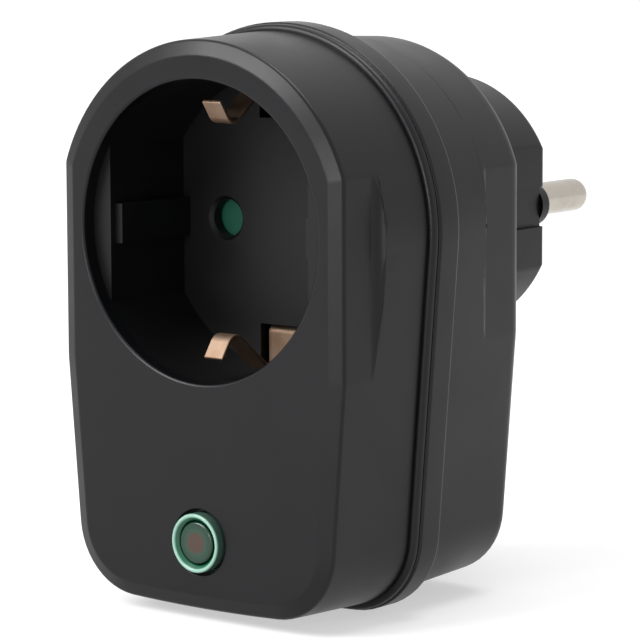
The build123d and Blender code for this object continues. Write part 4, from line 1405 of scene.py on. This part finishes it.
@dataclass(frozen=True)
class Coil:
    """A coil spring of round wire, wound along the depth. One that a joint presses gets a mesh of its own."""

    name: str
    node: str
    radius: float
    wire: float
    turns: float
    length: float
    start: Triple
    pressed_by: str | None = None
    travel: float = 0.0
    seat_depth: float = 0.0

    SHARP: ClassVar[float] = 60.0

    def build(self, palette: Palette) -> None:
        """Winds the spring by Geometry Nodes.

        Args:
            palette: the finishes.
        """
        recipe = Recipe("wound_spring")
        radius, length, wire = recipe.lengths(self, "radius", "length", "wire")
        turns = recipe.size("Turns", self.turns)
        wound = recipe.wire(recipe.coil(48, turns, radius, length), recipe.times(wire, 0.5))
        role = Role((self.node,), "spring_steel")
        piece = recipe.grow(recipe.turned_back(wound, at(*self.start)), self.name, role, palette)
        hand_over(piece, role, palette, self.SHARP)
        if self.pressed_by:
            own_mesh(piece)


SPRINGS = (
    Coil("torsion_spring_wire", "shutter_spring", 2.5, 0.4, 2.0, 1.2, (0.0, 21.75, 0.0)),
    Coil("armature_spring_wire", "armature_spring", 0.9, 0.35, 7.0, 11.25, (-9.5, 25.075, -22.6)),
    Coil("button_spring_wire", "button_spring", 3.45, 0.4, 3.0, 4.8, (0.0, 4.95, -TestKey.drop),
         "test_button_press", 1.2, 10.0),
)


@dataclass(frozen=True)
class HousingScrews:
    """The four self-tapping screws with slotted cheese heads, put in from the back."""

    places: tuple[Point, ...] = FrontShell.screw_places
    seat_depth: float = 28.0
    length: float = 16.0
    core_radius: float = 1.0
    thread_radius: float = 1.2
    thread_turns: float = 13.5
    head_radius: float = 2.6
    head_height: float = 1.8
    slot_width: float = 0.8
    easing: float = 0.1
    role: Role = Role(("housing_screws",), "steel")

    THREAD_SHARE: ClassVar[float] = 0.82
    THREAD_START: ClassVar[float] = -0.96
    SHARP: ClassVar[float] = 40.0

    def build(self, palette: Palette) -> None:
        """Makes one screw by Geometry Nodes and repeats it at the four places.

        Args:
            palette: the finishes.
        """
        recipe = Recipe("slotted_screw")
        head_radius, head_height, slot = recipe.lengths(self, "head_radius", "head_height", "slot_width")
        length, core, crest = recipe.lengths(self, "length", "core_radius", "thread_radius")
        half_height = recipe.times(head_height, 0.5)
        head = recipe.node("MeshCylinder", {"Vertices": 48, "Radius": head_radius, "Depth": head_height})
        across = recipe.vector(recipe.times(head_radius, 3.0), slot, recipe.times(slot, 2.0))
        knife = recipe.lifted(recipe.node("MeshCube", {"Size": across}), half_height)
        slotted = recipe.node("MeshBoolean", {"Mesh 1": head, "Mesh 2": knife}, operation="DIFFERENCE")
        shaft = recipe.node("MeshCylinder", {"Vertices": 32, "Radius": core, "Depth": length})
        ridge = recipe.work_out("SUBTRACT", crest, core)
        turns = recipe.size("Turns", self.thread_turns)
        thread = recipe.wire(recipe.coil(24, turns, core, recipe.times(length, self.THREAD_SHARE)), ridge, 6)
        screw = recipe.joined([
            recipe.lifted(slotted, half_height),
            recipe.lifted(shaft, recipe.times(length, -0.5)),
            recipe.lifted(thread, recipe.times(length, self.THREAD_START)),
        ])
        number = add_node(recipe.tree, "GeometryNodeInputIndex").outputs[0]
        shares = [recipe.work_out("COMPARE", number, float(index), 0.5) for index in range(len(self.places))]
        axes: list[object] = [0.0, 0.0]
        for axis, label in enumerate("XZ"):
            for index, (share, place) in enumerate(zip(shares, self.places)):
                given = recipe.size(f"Screw {index + 1} {label}", place[axis] * MM)
                axes[axis] = recipe.work_out("MULTIPLY_ADD", share, given, axes[axis])
        spots = recipe.spots(len(self.places), recipe.vector(axes[0], at(0, self.seat_depth, 0).y, axes[1]))
        repeated = recipe.node("InstanceOnPoints", {"Points": spots, "Instance": recipe.turned_back(screw, Vector())})
        piece = recipe.grow(repeated, "slotted_screws", self.role, palette)
        ease_edges(piece, self.easing, segments=2)
        hand_over(piece, self.role, palette, self.SHARP)


@dataclass(frozen=True)
class CoreWinding:
    """Secondary winding on the ring core: round turns of lacquered wire side by side over a part of the ring."""

    centre: Triple = (9.6, 31.0, -32.5)
    bore_radius: float = 4.2
    outer_radius: float = 8.0
    height: float = 6.0
    wire: float = 0.5
    turns: int = 9
    half_arc: float = 33.0
    corner_share: float = 0.8
    role: Role = Role(("transformer_winding",), "copper")

    SHARP: ClassVar[float] = 60.0

    def build(self, palette: Palette) -> None:
        """Winds the turns by Geometry Nodes.

        Args:
            palette: the finishes.
        """
        recipe = Recipe("core_winding")
        wire, bore, outer, height = recipe.lengths(self, "wire", "bore_radius", "outer_radius", "height")
        turns = recipe.size("Turns", self.turns)
        start = recipe.size("Half arc", math.radians(self.half_arc))
        wall = recipe.work_out("SUBTRACT", outer, bore)
        frame = recipe.node("CurvePrimitiveQuadrilateral", {
            "Width": recipe.work_out("ADD", wall, wire),
            "Height": recipe.work_out("ADD", height, wire),
        }, mode="RECTANGLE")
        bend = {"Curve": frame, "Radius": recipe.times(wire, self.corner_share), "Count": 5}
        loop = recipe.wire(recipe.node("FilletCurve", bend, mode="POLY"), recipe.times(wire, 0.5), 10)
        number = add_node(recipe.tree, "GeometryNodeInputIndex").outputs[0]
        share = recipe.work_out("DIVIDE", number, recipe.work_out("SUBTRACT", turns, 1.0))
        swing = recipe.work_out("MULTIPLY_ADD", share, recipe.times(start, 2.0), recipe.times(start, -1.0))
        angle = recipe.work_out("ADD", swing, math.pi / 2)
        mean = recipe.times(recipe.work_out("ADD", outer, bore), 0.5)
        place = recipe.vector(*(recipe.times(recipe.work_out(way, angle), mean) for way in ("COSINE", "SINE")))
        repeated = recipe.node("InstanceOnPoints", {
            "Points": recipe.spots(turns, place),
            "Instance": loop,
            "Rotation": recipe.vector(math.pi / 2, 0.0, angle),
        })
        piece = recipe.grow(recipe.turned_back(repeated, at(*self.centre)), "wound_turns", self.role, palette)
        hand_over(piece, self.role, palette, self.SHARP)


@dataclass(frozen=True)
class LeadedResistors:
    """Three small resistors with bent wire leads, side by side on the board."""

    axis_depth: float = 13.0
    lead_drop: float = 1.4
    radius: float = 1.1
    waist_radius: float = 0.92
    length: float = 6.3
    lead_radius: float = 0.3
    lead_span: float = 10.0
    first_drop: float = 38.6
    spacing: float = 2.9
    count: int = 3
    role: Role = Role(("resistors",), "resistor_coat")

    SHARP: ClassVar[float] = 50.0
    CAP_WAVE: ClassVar[Point] = (7.0, -5.0)  # the bulge's cosine: its turn over half the body, and where it starts
    END_SLOPE: ClassVar[float] = 9.0
    END_BLEND: ClassVar[float] = 0.2
    LEAD_START: ClassVar[float] = 0.96

    def build(self, palette: Palette) -> None:
        """Makes one resistor by Geometry Nodes and repeats it in a row.

        Args:
            palette: the finishes.
        """
        recipe = Recipe("leaded_resistor")
        radius, waist, length = recipe.lengths(self, "radius", "waist_radius", "length")
        lead, span, drop = recipe.lengths(self, "lead_radius", "lead_span", "lead_drop")
        half = recipe.times(length, 0.5)

        def line(start: Socket, end: Socket) -> Socket:
            """Adds a straight curve."""
            return recipe.node("CurvePrimitiveLine", {"Start": start, "End": end})

        axis = line(recipe.vector(recipe.times(half, -1.0)), recipe.vector(half))
        fine = recipe.node("ResampleCurve", {"Curve": axis, "Count": 33})
        along = add_node(recipe.tree, "GeometryNodeSplineParameter").outputs["Factor"]
        from_middle = recipe.work_out("ABSOLUTE", recipe.work_out("MULTIPLY_ADD", along, 2.0, -1.0))
        # The ends bulge over the caps: a cosine lifts them, and the last stretch closes to the lead.
        bulge = recipe.work_out("COSINE", recipe.work_out("MULTIPLY_ADD", from_middle, *self.CAP_WAVE))
        raised = recipe.work_out("MAXIMUM", bulge, 0.0)
        from_end = recipe.times(recipe.work_out("SUBTRACT", 1.0, from_middle), self.END_SLOPE)
        closing = recipe.work_out("SMOOTH_MIN", from_end, 1.0, self.END_BLEND)
        swell = recipe.work_out("MULTIPLY_ADD", recipe.work_out("SUBTRACT", radius, waist), raised, waist)
        thick = recipe.work_out("MAXIMUM", recipe.times(swell, closing), lead)
        foot = recipe.work_out("MULTIPLY_ADD", span, 0.5, recipe.times(lead, -1.0))
        parts = [recipe.wire(fine, thick, 32)]
        for side in (-1.0, 1.0):
            reach = recipe.times(foot, side)
            bar = line(recipe.vector(recipe.times(half, side * self.LEAD_START)), recipe.vector(reach))
            down = line(recipe.vector(reach, recipe.times(lead, 0.5)), recipe.vector(reach, recipe.times(drop, -1.0)))
            parts += [recipe.wire(bar, lead), recipe.wire(down, lead)]
        row = recipe.node("MeshLine", {
            "Count": recipe.size("Count", self.count),
            "Start Location": at(0, self.axis_depth, -self.first_drop),
            "Offset": recipe.vector(z=recipe.size("Spacing", -self.spacing * MM)),
        }, mode="OFFSET")
        repeated = recipe.node("InstanceOnPoints", {"Points": row, "Instance": recipe.joined(parts)})
        piece = recipe.grow(repeated, "lacquered_resistors", self.role, palette)
        hand_over(piece, self.role, palette, self.SHARP)


@dataclass(frozen=True)
class Viewpoint:
    """Where the photograph was taken from, with the picture's middle on the lens axis."""

    azimuth: float = 38.348
    elevation: float = 7.496
    roll: float = -0.204
    distance: float = 449.04
    target: Triple = (5.844, 19.0, -13.204)
    focal_pixels: float = 3287.2
    picture_pixels: float = 640.0
    sensor_mm: float = 36.0
    clip: Point = (0.01, 20.0)

    def add_camera(self) -> None:
        """Makes the camera and names it the scene's own."""
        turn, rise, tilt = (math.radians(angle) for angle in (self.azimuth, self.elevation, self.roll))
        away = Vector((math.sin(turn) * math.cos(rise), -math.cos(turn) * math.cos(rise), math.sin(rise)))
        level = Vector((math.cos(turn), math.sin(turn), 0))
        upright = away.cross(level)
        right = level * math.cos(tilt) + upright * math.sin(tilt)
        up = upright * math.cos(tilt) - level * math.sin(tilt)
        eye = at(*self.target) + away * self.distance * MM
        data = bpy.data.cameras.new("photograph")
        data.sensor_width = self.sensor_mm
        data.lens = self.focal_pixels / self.picture_pixels * self.sensor_mm
        data.clip_start, data.clip_end = self.clip
        camera = show("photograph", data)
        camera.matrix_world = Matrix.Translation(eye) @ Matrix((right, up, away)).transposed().to_4x4()
        bpy.context.scene.camera = camera


@dataclass(frozen=True)
class Softbox:
    """A square lamp that looks at the adapter."""

    name: str
    place: Triple
    side: float
    watts: float

    MIDDLE: ClassVar[Triple] = (0.0, 25.0, -12.0)

    def add(self) -> None:
        """Makes the lamp and turns it towards the middle of the adapter."""
        data = bpy.data.lights.new(self.name, "AREA")
        data.size = self.side
        data.energy = self.watts
        lamp = show(self.name, data)
        lamp.location = self.place
        lamp.rotation_euler = (at(*self.MIDDLE) - lamp.location).to_track_quat("-Z", "Y").to_euler()


@dataclass(frozen=True)
class Studio:
    """White paper sweep under soft lamps."""

    floor_side: float = 4.0
    floor_colour: str = "#bdbdbd"
    fade: Point = (0.25, 1.0)
    glow: Point = (0.52, 0.85)
    surround: float = 0.45
    fibre_mm: float = 2.0
    fibre_depth: float = 0.02
    fibre_strength: float = 0.2
    lamps: tuple[Softbox, ...] = (
        Softbox("overhead", (0.1, 0.15, 0.95), 0.6, 6.0),
        Softbox("above_front", (-0.4, -0.75, 0.62), 0.6, 13.0),
        Softbox("right_side", (1.0, 0.15, 0.35), 0.6, 0.8),
        Softbox("front_strip", (0.08, -1.0, 0.12), 0.22, 2.5),
    )

    def build(self, lowest: float) -> None:
        """Makes the floor, the surround and the lamps.

        Args:
            lowest: height of the adapter's lowest point, in metres.
        """
        mesh = bpy.data.meshes.new("floor")
        half = self.floor_side / 2
        corners = [(-half, -half, lowest), (half, -half, lowest), (half, half, lowest), (-half, half, lowest)]
        mesh.from_pydata(corners, [], [(0, 1, 2, 3)])
        floor = show("floor", mesh)
        mesh.materials.append(self.paper())
        floor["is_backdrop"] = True
        self.light_surround()
        for lamp in self.lamps:
            lamp.add()
        bpy.context.scene.view_settings.view_transform = "Standard"

    def paper(self) -> bpy.types.Material:
        """Makes the floor's paper: it keeps the shadow and is white where nothing shades it.

        Returns:
            The paper's material.
        """
        surface = Surface("Paper_white_sweep")
        fibre = surface.bump(surface.noise(per_metre(self.fibre_mm), 4.0), self.fibre_depth, self.fibre_strength)
        sheet = surface.node("BsdfDiffuse", {"Color": linear(self.floor_colour), "Normal": fibre})
        # The lamps fade with distance, and the paper's own faint light makes up for it away from the adapter.
        reach = surface.node("VectorMath", {0: surface.place}, operation="LENGTH").outputs["Value"]
        even = surface.spread(reach, self.fade, self.glow)
        seen = seen_directly(surface.tree, 0.0, 1.0)
        level = surface.node("Math", {0: even, 1: seen}, operation="MULTIPLY")
        glow = surface.node("Emission", {"Strength": level.outputs[0]})
        both = surface.node("AddShader", {0: sheet.outputs[0], 1: glow.outputs[0]})
        surface.node("OutputMaterial", {"Surface": both.outputs[0]})
        return surface.material

    def light_surround(self) -> None:
        """Makes the world: white where it is looked at, and softer as a light."""
        world = bpy.data.worlds.new("surround")
        world.use_nodes = True
        tree = world.node_tree
        tree.nodes.clear()
        light = {"Color": linear("#ffffff"), "Strength": seen_directly(tree, self.surround, 1.0)}
        sky = add_node(tree, "ShaderNodeBackground", light)
        add_node(tree, "ShaderNodeOutputWorld", {"Surface": sky.outputs[0]})
        bpy.context.scene.world = world


def seen_directly(tree: bpy.types.NodeTree, lit: float, seen: float) -> Socket:
    """Gives one strength for the light that falls on things and another for what is looked at.

    Args:
        tree: the tree that gets the nodes.
        lit: strength for diffuse light.
        seen: strength for camera, glossy and transmitted rays.

    Returns:
        The strength as an output socket.
    """
    rays = add_node(tree, "ShaderNodeLightPath")
    any_of = rays.outputs["Is Camera Ray"]
    for kind in ("Is Glossy Ray", "Is Transmission Ray"):
        any_of = add_node(tree, "ShaderNodeMath", {0: any_of, 1: rays.outputs[kind]}, operation="MAXIMUM").outputs[0]
    strength = {"Value": any_of, "To Min": lit, "To Max": seen}
    return add_node(tree, "ShaderNodeMapRange", strength).outputs["Result"]


def main() -> None:
    """Builds the adapter's looks on the frame."""
    logging.basicConfig(level=logging.INFO, format="%(name)s: %(message)s")
    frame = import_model()
    cad_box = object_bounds()
    palette = Palette()
    palette.dress(frame["record"], frame["nodes"])
    for piece in (FrontShell(), RearShell(), PinBridge(), PlugPins(), NOSE_STRIPS, EARTH_CLIPS, TestKey(),
                  HousingScrews(), *SPRINGS, CoreWinding(), LeadedResistors()):
        piece.build(palette)
    Viewpoint().add_camera()
    Studio().build(cad_box[0][2])


if __name__ == "__main__":
    main()
